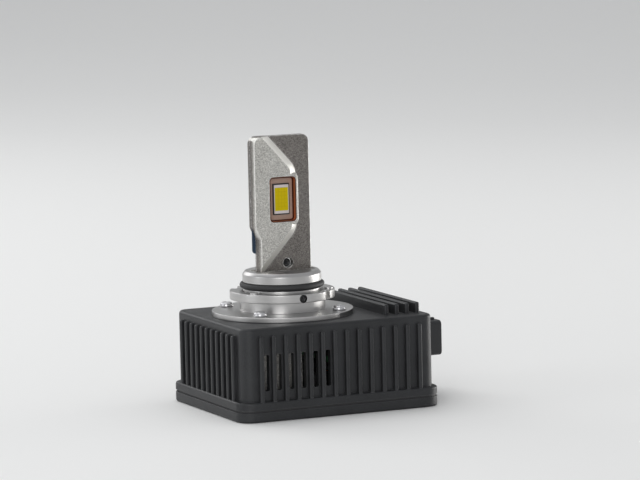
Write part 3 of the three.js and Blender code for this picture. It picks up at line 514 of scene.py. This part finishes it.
def outline(low, high, corner, inset, z):
    """A rectangle with round corners as a ring of points, inset by a distance."""
    steps = 5
    r = max(corner - inset, 0.02)
    x0, y0, x1, y1 = low[0] + inset + r, low[1] + inset + r, high[0] - inset - r, high[1] - inset - r
    ring = []
    for quarter, (x, y) in enumerate(((x1, y1), (x0, y1), (x0, y0), (x1, y0))):
        for k in range(steps + 1):
            a = RIGHT_ANGLE * (quarter + k / steps)
            ring.append((x + r * math.cos(a), y + r * math.sin(a), z))
    return ring


def block(low, high, corner, bottom=0, top=0, steps=3):
    """A box with round upright corners and rounded bottom and top rims; a radius of 0 leaves a rim sharp."""
    rings = []
    for radius, z, side in ((bottom, low[2], 1), (top, high[2], -1)):
        curve = [(0, z)]
        if radius:
            turns = [RIGHT_ANGLE * k / steps for k in range(steps + 1)]
            curve = [(radius * (1 - math.sin(a)), z + side * radius * (1 - math.cos(a))) for a in turns]
        rings += curve[::side]
    return skin([outline(low, high, corner, inset, z) for inset, z in rings])


def moved(mesh, place, axis=(0, 0, 1)):
    """The mesh with its own Z turned to an axis and its origin put in a place."""
    turn = Vector(axis).to_track_quat("Z", "Y").to_matrix().to_4x4()
    mesh.transform(Matrix.Translation(place) @ turn)
    return mesh


def post(x, y, radius, z0, z1):
    """An upright cylinder at a place."""
    return moved(rod(radius, z0, z1), (x, y, 0))


def spun(mesh, degrees):
    mesh.transform(Matrix.Rotation(math.radians(degrees), 4, "Z"))
    return mesh


def gathered(meshes):
    """Several meshes that lie apart, as one."""
    bm = bmesh.new()
    for mesh in meshes:
        bm.from_mesh(mesh)
    whole = bpy.data.meshes.new("gathered")
    bm.to_mesh(whole)
    bm.free()
    return whole


def carved(mesh, *steps):
    """The mesh after steps of ("UNION", "DIFFERENCE" or "INTERSECT", [meshes that lie apart])."""
    work = bpy.data.objects.new("work", mesh)
    scene.collection.objects.link(work)
    tools = []
    for operation, meshes in steps:
        tool = bpy.data.objects.new("tool", gathered(meshes))
        scene.collection.objects.link(tool)
        tools.append(tool)
        cut = work.modifiers.new(operation, "BOOLEAN")
        cut.operation, cut.solver, cut.object = operation, "MANIFOLD", tool
    graph = bpy.context.evaluated_depsgraph_get()
    graph.update()
    result = bpy.data.meshes.new_from_object(work.evaluated_get(graph))
    for spare in (work, *tools):
        bpy.data.objects.remove(spare)
    return result


def add(node, mesh):
    """Puts a mesh, drawn in millimetres, in the place of a CAD node."""
    mesh.transform(Matrix.Scale(MM, 4))
    mesh.name = node + "_fine"
    piece = bpy.data.objects.new(node + "_fine", mesh)
    scene.collection.objects.link(piece)
    mesh.materials.clear()
    mesh.materials.append(LOOK[SLOT[node]])
    mesh.shade_smooth()
    bm = bmesh.new()
    bm.from_mesh(mesh)
    for edge in bm.edges:
        edge.smooth = edge.calc_face_angle(0.0) < math.radians(SHARP)
    bm.to_mesh(mesh)
    bm.free()
    flats = piece.modifiers.new("flats", "WEIGHTED_NORMAL")
    flats.keep_sharp = True
    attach(piece, BODY[node])
    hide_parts(node)


# ------------ fasteners
THREAD = {"pitch": 0.5, "depth": 0.09}
THREAD_SHAPE = ((0.1, "root"), (0.45, "crest"), (0.6, "crest"), (0.95, "root"))  # shares of a pitch
SCREW_SIDES = 48


def threaded(radius, low, high):
    """Profile points of a thread from low to high, as a chain of crests and roots."""
    turns = max(1, int((high - low) / THREAD["pitch"]))
    pitch = (high - low) / turns
    at = {"root": radius - THREAD["depth"], "crest": radius}
    points = []
    for i in range(turns):
        z = low + pitch * i
        points += [(at[part], z + share * pitch) for share, part in THREAD_SHAPE]
    return points


def screw(head_radius, head_height, shank_radius, length):
    """A button-head screw pointing down from its seat at z = 0, with a hexagon socket."""
    sides = SCREW_SIDES
    tip = [(0, -length), (shank_radius - 0.3, -length), *threaded(shank_radius, -length + 0.2, -0.3)]
    flat, curve, rim = 0.62, 0.38, 0.3 * head_height
    rise = head_height - rim
    angles = (RIGHT_ANGLE * k / 6 for k in range(7))
    dome = [(head_radius * (flat + curve * math.cos(a)), rim + rise * math.sin(a)) for a in angles]
    seat = [(shank_radius, -0.2), (shank_radius, 0), (head_radius - 0.12, 0), (head_radius, 0.12)]
    socket, depth = 0.42 * head_radius, 0.4 * head_height
    rings = [round_ring(r, z, sides) for r, z in [*tip, *seat, *dome]]
    rings.append(round_ring(1.3 * socket, head_height, sides))
    rings += [hexagon_ring(socket, z, sides) for z in (head_height - 0.12, depth)]
    rings.append(round_ring(0, depth - 0.25 * socket, sides))
    return skin(rings)


# What each kind of screw is: the way its head faces, its head's height and its shank's radius.
SCREWS = {
    "stem_screw": ((0, 1, 0), 0.8, 0.6),
    "collar_screw": ((0, 0, 1), 1.4, 1.0),
    "cover_screw": ((0, 0, -1), 1.4, 1.05),
    "heat_sink_screw": ((0, 0, -1), 1.5, 1.0),
    "board_screw": ((0, 0, -1), 1.2, 0.8),
    "connector_screw": ((1, 0, 0), 1.3, 0.85),
    "fan_screw": ((0, 0, -1), 1.2, 1.05),
}


def screw_in_place(node, axis, head_height, shank_radius):
    """Draws a screw in the room of its CAD node; its head faces along the axis."""
    low, high = box_mm(node)
    size, middle, axis = high - low, (low + high) / 2, Vector(axis)
    along = abs(size.dot(axis))
    across = max(s for s, a in zip(size, axis) if not a)
    seat = middle + axis * (along / 2 - head_height)
    add(node, moved(screw(across / 2, head_height, shank_radius, along - head_height), seat, axis))


for name in nodes:
    kind = name.rstrip("_1234567890").removesuffix("_upper").removesuffix("_lower")
    if kind in SCREWS:
        screw_in_place(name, *SCREWS[kind])


def set_screw(node):
    """A headless screw along Y, with its hexagon socket at the front."""
    low, high = box_mm(node)
    radius, length = (high.x - low.x) / 2, high.y - low.y
    socket, floor = 0.5 * radius, length - 0.7
    sides = SCREW_SIDES
    shank = [(0, 0), (radius - 0.25, 0), *threaded(radius, 0.15, length - 0.1)]
    rings = [round_ring(r, z, sides) for r, z in shank]
    rings += [round_ring(r, length, sides) for r in (radius - 0.2, 1.3 * socket)]
    rings += [hexagon_ring(socket, z, sides) for z in (length - 0.12, floor)]
    rings.append(round_ring(0, floor - 0.3 * socket, sides))
    add(node, moved(skin(rings), ((low.x + high.x) / 2, high.y, (low.z + high.z) / 2), (0, -1, 0)))


set_screw("stem_clamp_screw")
set_screw("ring_grub_screw")

# ------------ stem
# Heights here are above the reference plane, as the lamp category gives them.
REFERENCE_PLANE = 36.0
CENTRE = LIGHT_CENTRE - REFERENCE_PLANE
FRONT, FLANK, SPLIT = -2.5, -0.9, -0.17  # the raised face, the flank and the middle, along Y
THROUGH = 9.0  # past the blade on both sides
BLADE = {"left": -9.65, "right": 9.4, "neck": -8.45, "top": 46.5, "tip": 2.2}
FACE = {"left": -9.2, "right": 8.8, "neck": -7.45, "top": 46.1, "tip": 2.0}
SHOULDER = {"top": 19.1, "bottom": 14.4}
STEP = {"right": 2.7, "left": -13.0, "lower": 18.2, "slope": 0.9, "run": 2.1, "soft": 1.2}
POCKET = {"width": 8.8, "height": 13.8, "corner": 1.25}
RIM = {"wider": 0.9, "taller": 1.5, "corner": 1.7, "run": 0.75}
CORE = {"left": -6.35, "right": 4.75, "half_height": 8.65, "front": -0.4}  # the room that the core needs
TONGUE = {"right": -0.45, "front": -0.6}
CLAMP_HOLE = {"x": 1.8, "z": 7.5, "radius": 1.5}
STEM_SCREWS = ((-5.6, 39.4), (-4.4, 15.2))
STEM_FOOT = ((-9, -3.6, 25.6), (9.9, SPLIT, 41.2))
LEAD_BORE = {"x": 6.2, "y": -1.9, "radius": 0.95, "top": REFERENCE_PLANE + 3.2}
LIP = ((0, -0.14), (0.02, -0.06), (0.07, 0.02))  # below the raised face, and how far the outline has spread


def bezier(points, steps=8):
    """Points along a quadratic or cubic curve, without its first point."""
    degree = len(points) - 1
    curve = []
    for k in range(1, steps + 1):
        t = k / steps
        weights = [math.comb(degree, i) * (1 - t) ** (degree - i) * t**i for i in range(degree + 1)]
        curve.append(sum((w * Vector(p) for w, p in zip(weights, points)), Vector((0, 0))))
    return curve


def arc(x, z, radius, start, end):
    """Points on an arc between two angles in degrees."""
    steps = 8
    angles = (math.radians(start + (end - start) * k / steps) for k in range(steps + 1))
    return [Vector((x + radius * math.cos(a), z + radius * math.sin(a))) for a in angles]


def blade_outline(left, right, neck, top, tip):
    """Straight on the right, with round tips and a shoulder down to a narrower neck on the left."""
    high, low = SHOULDER["top"], SHOULDER["bottom"]
    shoulder = [(left, high), (left + 0.2, high - 1.1), (neck, low + 1.9), (neck, low)]
    return [
        Vector((neck, 0)), Vector((right, 0)),
        *arc(right - tip, top - tip, tip, 0, 90),
        *arc(left + tip, top - tip, tip, 90, 180),
        Vector(shoulder[0]), *bezier(shoulder, 14),
    ]


def step_outline():
    """The raised part: upright beside the LED, and sloping to the left above and below it."""
    right, left, low, slope, soft = (STEP[k] for k in ("right", "left", "lower", "slope", "soft"))
    high, run = 2 * CENTRE - low, (right - left) / slope
    below, above = (right - soft * slope, low - soft), (right - soft * slope, high + soft)
    return [
        Vector((left, low - run)), Vector(below), *bezier([below, (right, low), (right, low + soft)]),
        Vector((right, high - soft)), *bezier([(right, high - soft), (right, high), above]),
        Vector((left, high + run)),
    ]


def round_outline(width, height, corner):
    """A rectangle with round corners about the light centre."""
    half_x, half_z = width / 2, height / 2
    ring = outline((-half_x, -half_z), (half_x, half_z), corner, 0, 0)
    return [Vector((x, z + CENTRE)) for x, z, _ in ring]


def spread(points, distance):
    """An anticlockwise outline moved outwards by a distance."""
    result = []
    for i, point in enumerate(points):
        sides = point - points[i - 1], points[(i + 1) % len(points)] - point
        first, second = (Vector((side.y, -side.x)).normalized() for side in sides)
        middle = (first + second).normalized()
        result.append(point + middle * distance / max(0.3, middle.dot(first)))
    return result


def standing(points, levels):
    """A solid with an outline in X and Z; levels are (y, how far the outline has spread there)."""
    return skin([[(p.x, y, p.y + REFERENCE_PLANE) for p in spread(points, grow)] for y, grow in levels])


def along_y(mesh, x, z):
    """Lays a piece that was drawn along Z down along Y; z is above the reference plane."""
    return moved(mesh, (x, 0, z + REFERENCE_PLANE), (0, 1, 0))


def clamp_hole():
    """The clamp screw's bore, with a chamfer at the flank."""
    radius, chamfer = CLAMP_HOLE["radius"], 0.2
    wide = radius + chamfer
    profile = [(0, -THROUGH), (wide, -THROUGH), (wide, FLANK), (radius, FLANK + chamfer), (radius, THROUGH)]
    return along_y(turned([*profile, (0, THROUGH)], 48), CLAMP_HOLE["x"], CLAMP_HOLE["z"])


def raised(points, run):
    """A part raised from the flank to the front, whose walls run out by a distance as they come down."""
    foot = run / (FLANK - FRONT) * 0.1
    lip = [(FRONT + down, grow) for down, grow in LIP]
    bottom = [(FLANK - 0.1, run - foot), (FLANK - 0.02, run + foot), (SPLIT, run + 2 * foot)]
    return standing(points, lip + bottom)


def half_blade():
    """The front half: a thin flank, the raised part with its sloping step, and the rim round the pocket."""
    soft, steps, draft = 0.16, 4, 1.0
    lean = draft / (SPLIT - FRONT)
    edge = []
    for k in range(steps + 1):
        a = RIGHT_ANGLE * k / steps
        sink = soft * (1 - math.cos(a))
        edge.append((FRONT + sink, lean * sink - soft * (1 - math.sin(a))))
    leaning = standing(blade_outline(**FACE), [*edge, (SPLIT, draft)])
    blade = blade_outline(**BLADE)
    flank = standing(blade, [(FLANK, -0.1), (FLANK + 0.03, -0.03), (FLANK + 0.1, 0), (SPLIT, 0)])
    upright = standing(blade, [(FRONT - 1, 0), (SPLIT, 0)])
    rim = round_outline(POCKET["width"] + RIM["wider"], POCKET["height"] + RIM["taller"], RIM["corner"])
    return carved(
        raised(step_outline(), STEP["run"]),
        ("UNION", [raised(rim, RIM["run"])]),
        ("UNION", [flank]),
        ("INTERSECT", [upright]),
        ("INTERSECT", [leaning]),
    )


def stem_half(screw_radius, screw_start):
    """A half with its foot, the pocket, the core's room and the holes."""
    middle = REFERENCE_PLANE + CENTRE
    low, high = middle - CORE["half_height"], middle + CORE["half_height"]
    pocket = round_outline(POCKET["width"], POCKET["height"], POCKET["corner"])
    chamfer = 0.12
    lead = LEAD_BORE
    cutters = [
        standing(pocket, [(FRONT - 1, chamfer), (FRONT, chamfer), (FRONT + 0.1, 0), (1, 0)]),
        block((CORE["left"], CORE["front"], low), (CORE["right"], 1, high), corner=0.05),
        block((CORE["left"], TONGUE["front"], 10), (TONGUE["right"], 1, low + 5), corner=0.05),
        clamp_hole(),
        post(lead["x"], lead["y"], lead["radius"], 10, lead["top"]),
        *(along_y(rod(screw_radius, screw_start, THROUGH, 48), x, z) for x, z in STEM_SCREWS),
    ]
    foot = block(*STEM_FOOT, corner=0.3, bottom=0.3, top=0.3)
    return carved(half_blade(), ("UNION", [foot]), *(("DIFFERENCE", [cutter]) for cutter in cutters))


def make_stem():
    """The screws thread into the front half and pass through the rear half."""
    add("stem_front_half", stem_half(0.7, -1.9))
    rear = stem_half(1.0, -THROUGH)
    rear.transform(Matrix.Scale(-1, 4, (0, 1, 0)))
    rear.flip_normals()
    add("stem_rear_half", rear)


make_stem()

# ------------ collar and locator ring
SCREW_CIRCLE = 18.4
COLLAR = {"neck": 13.0, "barrel": 12.0, "base_top": 1.6, "seat": 4.95}
GROOVE = {"bottom": 8.25, "top": 10.15, "depth": 0.9}
FOOT = {"low": (-9.15, -3.75), "high": (10.05, 3.75)}  # room for the stem's foot, with its clearance
NOTCHES = ((2.6, 45), (1.5, -144))  # half width, and degrees from the back
PAD = {"circle": 14.1, "radius": 1.3, "rise": 0.4, "root": -0.5, "angles": (90, 210, 330)}


def diagonal_places():
    """The four screws stand on the diagonals."""
    for quarter in range(4):
        a = RIGHT_ANGLE * (quarter + 0.5)
        yield SCREW_CIRCLE * math.cos(a), SCREW_CIRCLE * math.sin(a)


def make_collar():
    """Flange and barrel, with a groove for the O-ring, a slot for the stem's foot and four screw holes."""
    low, high = box_mm("collar")
    radius, z0, z1 = (high.x - low.x) / 2, low.z, high.z
    neck, barrel, root = COLLAR["neck"], COLLAR["barrel"], COLLAR["barrel"] - GROOVE["depth"]
    base_top, seat = z0 + COLLAR["base_top"], z0 + COLLAR["seat"]
    groove_bottom, groove_top = z0 + GROOVE["bottom"], z0 + GROOVE["top"]
    profile = [(0, z0), (radius, z0), (radius, base_top), (neck, base_top), (neck, seat), (barrel, seat)]
    profile += [(barrel, groove_bottom), (root, groove_bottom), (root, groove_top), (barrel, groove_top)]
    profile += [(barrel, z1 - 1), (barrel - 0.8, z1), (0, z1)]
    slot = block((*FOOT["low"], z0 - 1), (*FOOT["high"], z1 + 1), corner=1.0)
    holes = [post(x, y, 1.1, z0 - 1, z0 + 2.4) for x, y in diagonal_places()]
    add("collar", carved(turned(filleted(profile, 0.22), 144), ("DIFFERENCE", [slot, *holes])))


def make_o_ring():
    low, high = box_mm("collar_o_ring")
    section = (high.z - low.z) / math.sqrt(3)
    middle, z = (high.x - low.x) / 2 - section, (low.z + high.z) / 2
    angles = (math.pi * k / 8 for k in range(16))
    circle = [(middle + section * math.cos(a), z + section * math.sin(a)) for a in angles]
    add("collar_o_ring", turned(circle, 128, closed=True))


def make_locator_ring():
    """A keyed disc: two notches in its rim, three pads that touch the lamp holder, and a screw hole."""
    low, high = box_mm("locator_ring")
    outer, inner, face = (high.x - low.x) / 2, COLLAR["barrel"] + 0.1, high.z - PAD["rise"]
    circle, radius, root, rise = PAD["circle"], PAD["radius"], PAD["root"], PAD["rise"]
    profile = [(inner, low.z), (outer, low.z), (outer, face), (inner, face)]
    disc = turned(filleted(profile, 0.3, closed=True), 144, closed=True)
    pads, notches = [], []
    for degrees in PAD["angles"]:
        a = math.radians(degrees)
        pad = turned(filleted([(0, root), (radius, root), (radius, rise), (0, rise)], 0.15), 40)
        pads.append(moved(pad, (circle * math.cos(a), circle * math.sin(a), face)))
    for half, degrees in NOTCHES:
        start, end = (-half, outer - 2, low.z - 1), (half, outer + 3, high.z + 1)
        notches.append(spun(block(start, end, corner=0.6), degrees))
    grub_low, grub_high = box_mm("ring_grub_screw")
    hole = rod(1.25, 0, 8, 40)
    notches.append(moved(hole, (0, -outer + 7, (grub_low.z + grub_high.z) / 2), (0, -1, 0)))
    add("locator_ring", carved(disc, ("UNION", pads), ("DIFFERENCE", notches)))


make_collar()
make_o_ring()
make_locator_ring()

# ------------ base housing
SKIN = 1.6  # the shell's wall stands this far inside the rim
WALL = 2.0
RIB = {"half": 0.7, "pitch": 4.0, "bottom": 5.5, "top": 25.6, "line": 26.5, "out": 1.2}
RIB_COUNT = {"long side": 14, "end": 11}
FIN = {"first": 25.2, "pitch": 3.4, "count": 4, "half_length": 21}
ROUNDING = {"rib": (0.5, 0.1, 0.55), "fin": (0.5, 0.1, 0.5), "slot": (0.02, 0.5, 0.5)}
AIR_SLOT = {"half": 0.8, "bottom": 9.0, "top": 20.0, "long": 6, "reach": 6.0}
DECK = {"under": 25.5, "top": 28.0, "rim_top": 6.0}
BOSS = {"cover": 3.4, "board": 2.2, "board_seat": 17.05}
HOLE = {"cover": 1.2, "board": 0.95, "sink": 1.15, "collar": 1.1}
COVER_SCREW = 5.2  # from the sides to a corner screw
BOARD_SCREWS = ((8, -19), (8, 19))
SINK_SCREWS = ((-18, 0), (0, 17.8), (0, -17.8))
SOCKET_WINDOW = ((35.2, -9.65, 12.25), (49, 9.65, 23.35))
SOCKET_SCREW = 12.2  # from the middle to each screw
SOCKET_HOLE = {"half": 0.9, "bottom": 16.9, "top": 18.7, "back": 34, "front": 41}
FAN_X = 18.5
FAN_SCREW = 14.5  # from the fan's axis to its screws, along X and along Y
FAN_SLOTS = ((5.2, 8.6), (10.4, 14.8))  # inner and outer radius of each circle of slots
FAN_WEB = 1.1  # half the width of the bars between them
BORES = {"cover": (1.7, 2.75, 1.7), "fan": (1.3, 2.25, 1.4)}  # the hole, its counterbore and how deep


def corner_places():
    """The four cover screws stand near the corners."""
    low, high = box_mm("lower_cover")
    for x in (low.x + COVER_SCREW, high.x - COVER_SCREW):
        for y in (low.y + COVER_SCREW, high.y - COVER_SCREW):
            yield x, y


def rib_places():
    """Places of the upright ribs along the long sides and along the left end."""
    low, _ = box_mm("upper_housing")
    long_side = [low.x + 7 + RIB["pitch"] * i for i in range(RIB_COUNT["long side"])]
    end = [RIB["pitch"] * (i - RIB_COUNT["end"] // 2) for i in range(RIB_COUNT["end"])]
    return long_side, end


def ribs_and_fins():
    """Upright ribs on the walls, and fins across the right end of the deck."""
    low, high = box_mm("upper_housing")
    long_side, end = rib_places()
    w, out, z0, z1 = RIB["half"], RIB["out"], RIB["bottom"], RIB["top"]
    pieces = []
    for x in long_side:
        for y in (-RIB["line"], RIB["line"]):
            pieces.append(block((x - w, y - out, z0), (x + w, y + out, z1), *ROUNDING["rib"]))
    for y in end:
        pieces.append(block((low.x + 0.3, y - w, z0), (low.x + 2.4, y + w, z1), *ROUNDING["rib"]))
    reach = FIN["half_length"]
    for i in range(FIN["count"]):
        x = FIN["first"] + FIN["pitch"] * i
        root = DECK["top"] - 0.5
        pieces.append(block((x - w, -reach, root), (x + w, reach, high.z), *ROUNDING["fin"]))
    return pieces


def air_slots():
    """Slots between the ribs, near the heat sink."""
    low, high = box_mm("upper_housing")
    long_side, end = rib_places()
    w, reach, z0, z1 = AIR_SLOT["half"], AIR_SLOT["reach"], AIR_SLOT["bottom"], AIR_SLOT["top"]
    slots = []
    for x in (place + RIB["pitch"] / 2 for place in long_side[:AIR_SLOT["long"]]):
        for y in (low.y, high.y):
            slots.append(block((x - w, y - reach, z0), (x + w, y + reach, z1), *ROUNDING["slot"]))
    for y in (place + RIB["pitch"] / 2 for place in end[:-1]):
        slots.append(block((low.x - 3, y - w, z0), (low.x + reach, y + w, z1), *ROUNDING["slot"]))
    return slots


def make_upper_housing():
    """A ribbed shell, open below, with bosses, screw holes, air slots and openings for socket and stem."""
    low, high = box_mm("upper_housing")
    z0, deck, under = low.z, DECK["top"], DECK["under"]
    inset = SKIN + WALL
    shell = block(
        (low.x + SKIN, low.y + SKIN, z0), (high.x - SKIN, high.y - SKIN, deck),
        corner=3.4, top=1.0, steps=5,
    )
    rim = block((low.x, low.y, z0), (high.x, high.y, DECK["rim_top"]), corner=5, top=0.6, steps=4)
    room = block(
        (low.x + inset, low.y + inset, 0), (high.x - inset, high.y - inset, under),
        corner=1.6, top=0.4,
    )
    posts = [post(x, y, BOSS["cover"], z0, under + 0.5) for x, y in corner_places()]
    posts += [post(x, y, BOSS["board"], BOSS["board_seat"], under + 0.5) for x, y in BOARD_SCREWS]
    holes = [post(x, y, HOLE["cover"], 0, 14) for x, y in corner_places()]
    holes += [post(x, y, HOLE["board"], 0, under - 1) for x, y in BOARD_SCREWS]
    holes += [post(x, y, HOLE["sink"], 0, deck - 0.6) for x, y in SINK_SCREWS]
    holes += [post(x, y, HOLE["collar"], under - 1, 40) for x, y in diagonal_places()]
    for y in (-SOCKET_SCREW, SOCKET_SCREW):
        start = (SOCKET_HOLE["back"], y - SOCKET_HOLE["half"], SOCKET_HOLE["bottom"])
        end = (SOCKET_HOLE["front"], y + SOCKET_HOLE["half"], SOCKET_HOLE["top"])
        holes.append(block(start, end, corner=0.3))
    window = block(*SOCKET_WINDOW, corner=0.02)
    foot = block((*FOOT["low"], under - 1), (*FOOT["high"], deck + 1), corner=0.4)
    add("upper_housing", carved(
        shell,
        ("UNION", [rim]),
        ("UNION", ribs_and_fins()),
        ("DIFFERENCE", [room]),
        ("UNION", posts),
        ("DIFFERENCE", air_slots()),
        ("DIFFERENCE", [window, foot, *holes]),
    ))


def sector(inner, outer, a0, a1, z0, z1):
    """A curved slot's cutter about the fan's axis; it widens at the bottom, which chamfers the slot."""
    flare, steps = 0.35, 14
    rings = []
    for z, grow in ((z0, flare + 0.3), (0.0, flare), (flare, 0.0), (z1, 0.0)):
        ring = []
        for radius, turn in ((outer + grow, 1), (inner - grow, -1)):
            more = grow / radius
            start, end = (a0 - more, a1 + more)[::turn]
            for k in range(steps + 1):
                a = start + (end - start) * k / steps
                ring.append((FAN_X + radius * math.cos(a), radius * math.sin(a), z))
        rings.append(ring)
    return skin(rings)


def counterbored(x, y, hole, bore, depth):
    """A screw hole from below, with a chamfered counterbore for the head."""
    chamfer = 0.25
    profile = [(0, -1), (bore + chamfer, -1), (bore + chamfer, 0), (bore, chamfer), (bore, depth)]
    profile += [(hole, depth), (hole, 9), (0, 9)]
    return moved(turned(profile, 40), (x, y, 0))


def make_lower_cover():
    """A plate with two circles of slots under the fan, and counterbored screw holes."""
    low, high = box_mm("lower_cover")
    plate = block(low, high, corner=5, bottom=0.6, top=0.15, steps=4)
    slots = []
    for inner, outer in FAN_SLOTS:
        web = FAN_WEB / ((inner + outer) / 2)
        for i in range(4):
            start, end = RIGHT_ANGLE * i + web, RIGHT_ANGLE * (i + 1) - web
            slots.append(sector(inner, outer, start, end, -1, high.z + 1))
    holes = [counterbored(x, y, *BORES["cover"]) for x, y in corner_places()]
    holes += [counterbored(FAN_X + shift, shift, *BORES["fan"]) for shift in (-FAN_SCREW, FAN_SCREW)]
    add("lower_cover", carved(plate, ("DIFFERENCE", [*slots, *holes])))


make_upper_housing()
make_lower_cover()

# ------------ supply connector
CONNECTOR = {"back": 37.2, "mouth": 49.0, "half": 9.5, "bottom": 12.4, "top": 23.2}
CAVITY = {"wall": 1.3, "floor": 1.6}
LATCH = {"half": 2.2, "rise": 1.1, "inward": (6, 3.5)}  # its two ends, from the mouth
GUIDE = {"places": (-6.2, 6.2), "half": 0.5, "rise": 0.7}
FLANGE = {"back": 38.75, "thick": 1.6, "half": 15.0, "bottom": 10.8, "top": 24.8}
TERMINALS = {"places": (-5, 0, 5), "half": 1.45, "bottom": 18.15, "top": 19.05}


def facing_right(mesh):
    """Turns a piece drawn flat, in Y and Z with its depth along Z, so that its depth runs along X."""
    mesh.transform(Matrix(((0, 0, 1, 0), (1, 0, 0, 0), (0, 1, 0, 0), (0, 0, 0, 1))))
    return mesh


def bar(y, z, x, corner, back=0, front=0):
    """A block given by its ends along Y, Z and X, with rounded back and front rims."""
    return facing_right(block((y[0], z[0], x[0]), (y[1], z[1], x[1]), corner, back, front, 4))


def make_connector_shell():
    """A flanged sleeve with a latch and two guides on top, a cavity, and holes for terminals and screws."""
    c, f, t = CONNECTOR, FLANGE, TERMINALS
    top, bottom, back, mouth = c["top"], c["bottom"], c["back"], c["mouth"]
    centre = (bottom + top) / 2
    sleeve = bar((-c["half"], c["half"]), (bottom, top), (back, mouth), corner=1.4, back=0.2, front=0.35)
    depth = (f["back"], f["back"] + f["thick"])
    flange = bar((-f["half"], f["half"]), (f["bottom"], f["top"]), depth, corner=2.0, back=0.1, front=0.4)
    root = top - 0.5
    latch = (root, top + LATCH["rise"]), [mouth - inward for inward in LATCH["inward"]]
    extras = [bar((-LATCH["half"], LATCH["half"]), *latch, corner=0.3, back=0.3, front=0.9)]
    for y in GUIDE["places"]:
        guide = (root, top + GUIDE["rise"]), (f["back"] + 1, mouth - 1)
        extras.append(bar((y - GUIDE["half"], y + GUIDE["half"]), *guide, corner=0.2, back=0.1, front=0.4))
    wall, floor = CAVITY["wall"], back + CAVITY["floor"]
    room = c["half"] - wall
    cavity = bar((-room, room), (bottom + wall, top - wall), (floor, mouth + 1), corner=0.6, back=0.3)
    holes = []
    for y in t["places"]:
        sides = (y - t["half"], y + t["half"]), (t["bottom"], t["top"])
        holes.append(bar(*sides, (30, 45), corner=0.05))
    hole = 1.1
    for y in (-SOCKET_SCREW, SOCKET_SCREW):
        sides = (y - hole, y + hole), (centre - hole, centre + hole)
        holes.append(bar(*sides, (34, 45), corner=hole - 0.01))
    add("connector_shell", carved(
        sleeve,
        ("UNION", [flange]),
        ("UNION", extras),
        ("DIFFERENCE", [cavity]),
        ("DIFFERENCE", holes),
    ))


make_connector_shell()

# ------------ driver parts and fan shaft


def on_axis(node):
    """The node's lowest point on its own upright axis, its radius and its height."""
    low, high = box_mm(node)
    return Vector(((low.x + high.x) / 2, (low.y + high.y) / 2, low.z)), (high.x - low.x) / 2, high.z - low.z


def add_turned(node, profile, radius=0.15, sides=64):
    """Turns a profile about the node's own upright axis, with its corners rounded."""
    foot, _, _ = on_axis(node)
    add(node, moved(turned(filleted(profile, radius, 3), sides), foot))


def make_capacitor(node):
    """An aluminium can with a crimped groove near its foot and a sunken top."""
    _, r, h = on_axis(node)
    groove = [(r, 1.1), (r - 0.3, 1.5), (r, 1.9)]
    top = [(r, h), (0.6 * r, h), (0.6 * r, h - 0.1), (0, h - 0.1)]
    add_turned(node, [(0, 0), (r, 0), *groove, *top])


def make_inductor_core():
    """A ferrite bobbin."""
    _, r, h = on_axis("inductor_core")
    neck, flange = 2.2, 1.0
    waist = [(r, flange), (neck, flange), (neck, h - flange), (r, h - flange)]
    add_turned("inductor_core", [(0, 0), (r, 0), *waist, (r, h), (0, h)])


def make_fan_shaft():
    _, r, h = on_axis("fan_shaft")
    add_turned("fan_shaft", [(0, 0), (r, 0), (r, h), (0, h)], 0.2, 40)


def make_winding():
    """Close turns of enamelled wire, as a scalloped ring."""
    foot, radius, height = on_axis("inductor_winding")
    inner, turns = 2.4, 7
    wire = height / turns / 2
    profile = []
    for i in range(turns):
        for k in range(6):
            a = -RIGHT_ANGLE + math.pi * (k + 0.5) / 6
            profile.append((radius - wire + wire * math.cos(a), wire * (2 * i + 1) + wire * math.sin(a)))
    profile += [(inner, height), (inner, 0)]
    add("inductor_winding", moved(turned(profile, 64, closed=True), foot))


make_capacitor("capacitor_1")
make_capacitor("capacitor_2")
make_inductor_core()
make_fan_shaft()
make_winding()

# ------------ CAD nodes that stay
EDGE = {"heat_sink": 0.12, "fan_frame": 0.12, "fan_impeller": 0.06, "copper_core": 0.05}
OTHER_EDGES = 0.08


def soften(obj, width_mm):
    """Rounds a node's real edges and smooths its curved walls, by modifiers only."""
    weld = obj.modifiers.new("weld", "WELD")
    weld.merge_threshold = 0.002 * MM
    bevel = obj.modifiers.new("bevel", "BEVEL")
    bevel.width = width_mm * MM
    bevel.segments = 2
    bevel.limit_method = "ANGLE"
    bevel.angle_limit = math.radians(28)
    bevel.harden_normals = True
    bevel.miter_outer = "MITER_ARC"
    obj.data.shade_smooth()
    if "custom_normal" in obj.data.attributes:
        obj.data.attributes.remove(obj.data.attributes["custom_normal"])


for name, obj in nodes.items():
    obj.data.materials.clear()
    obj.data.materials.append(LOOK[SLOT[name]])
    if not obj.hide_render:
        soften(obj, EDGE.get(name, OTHER_EDGES))
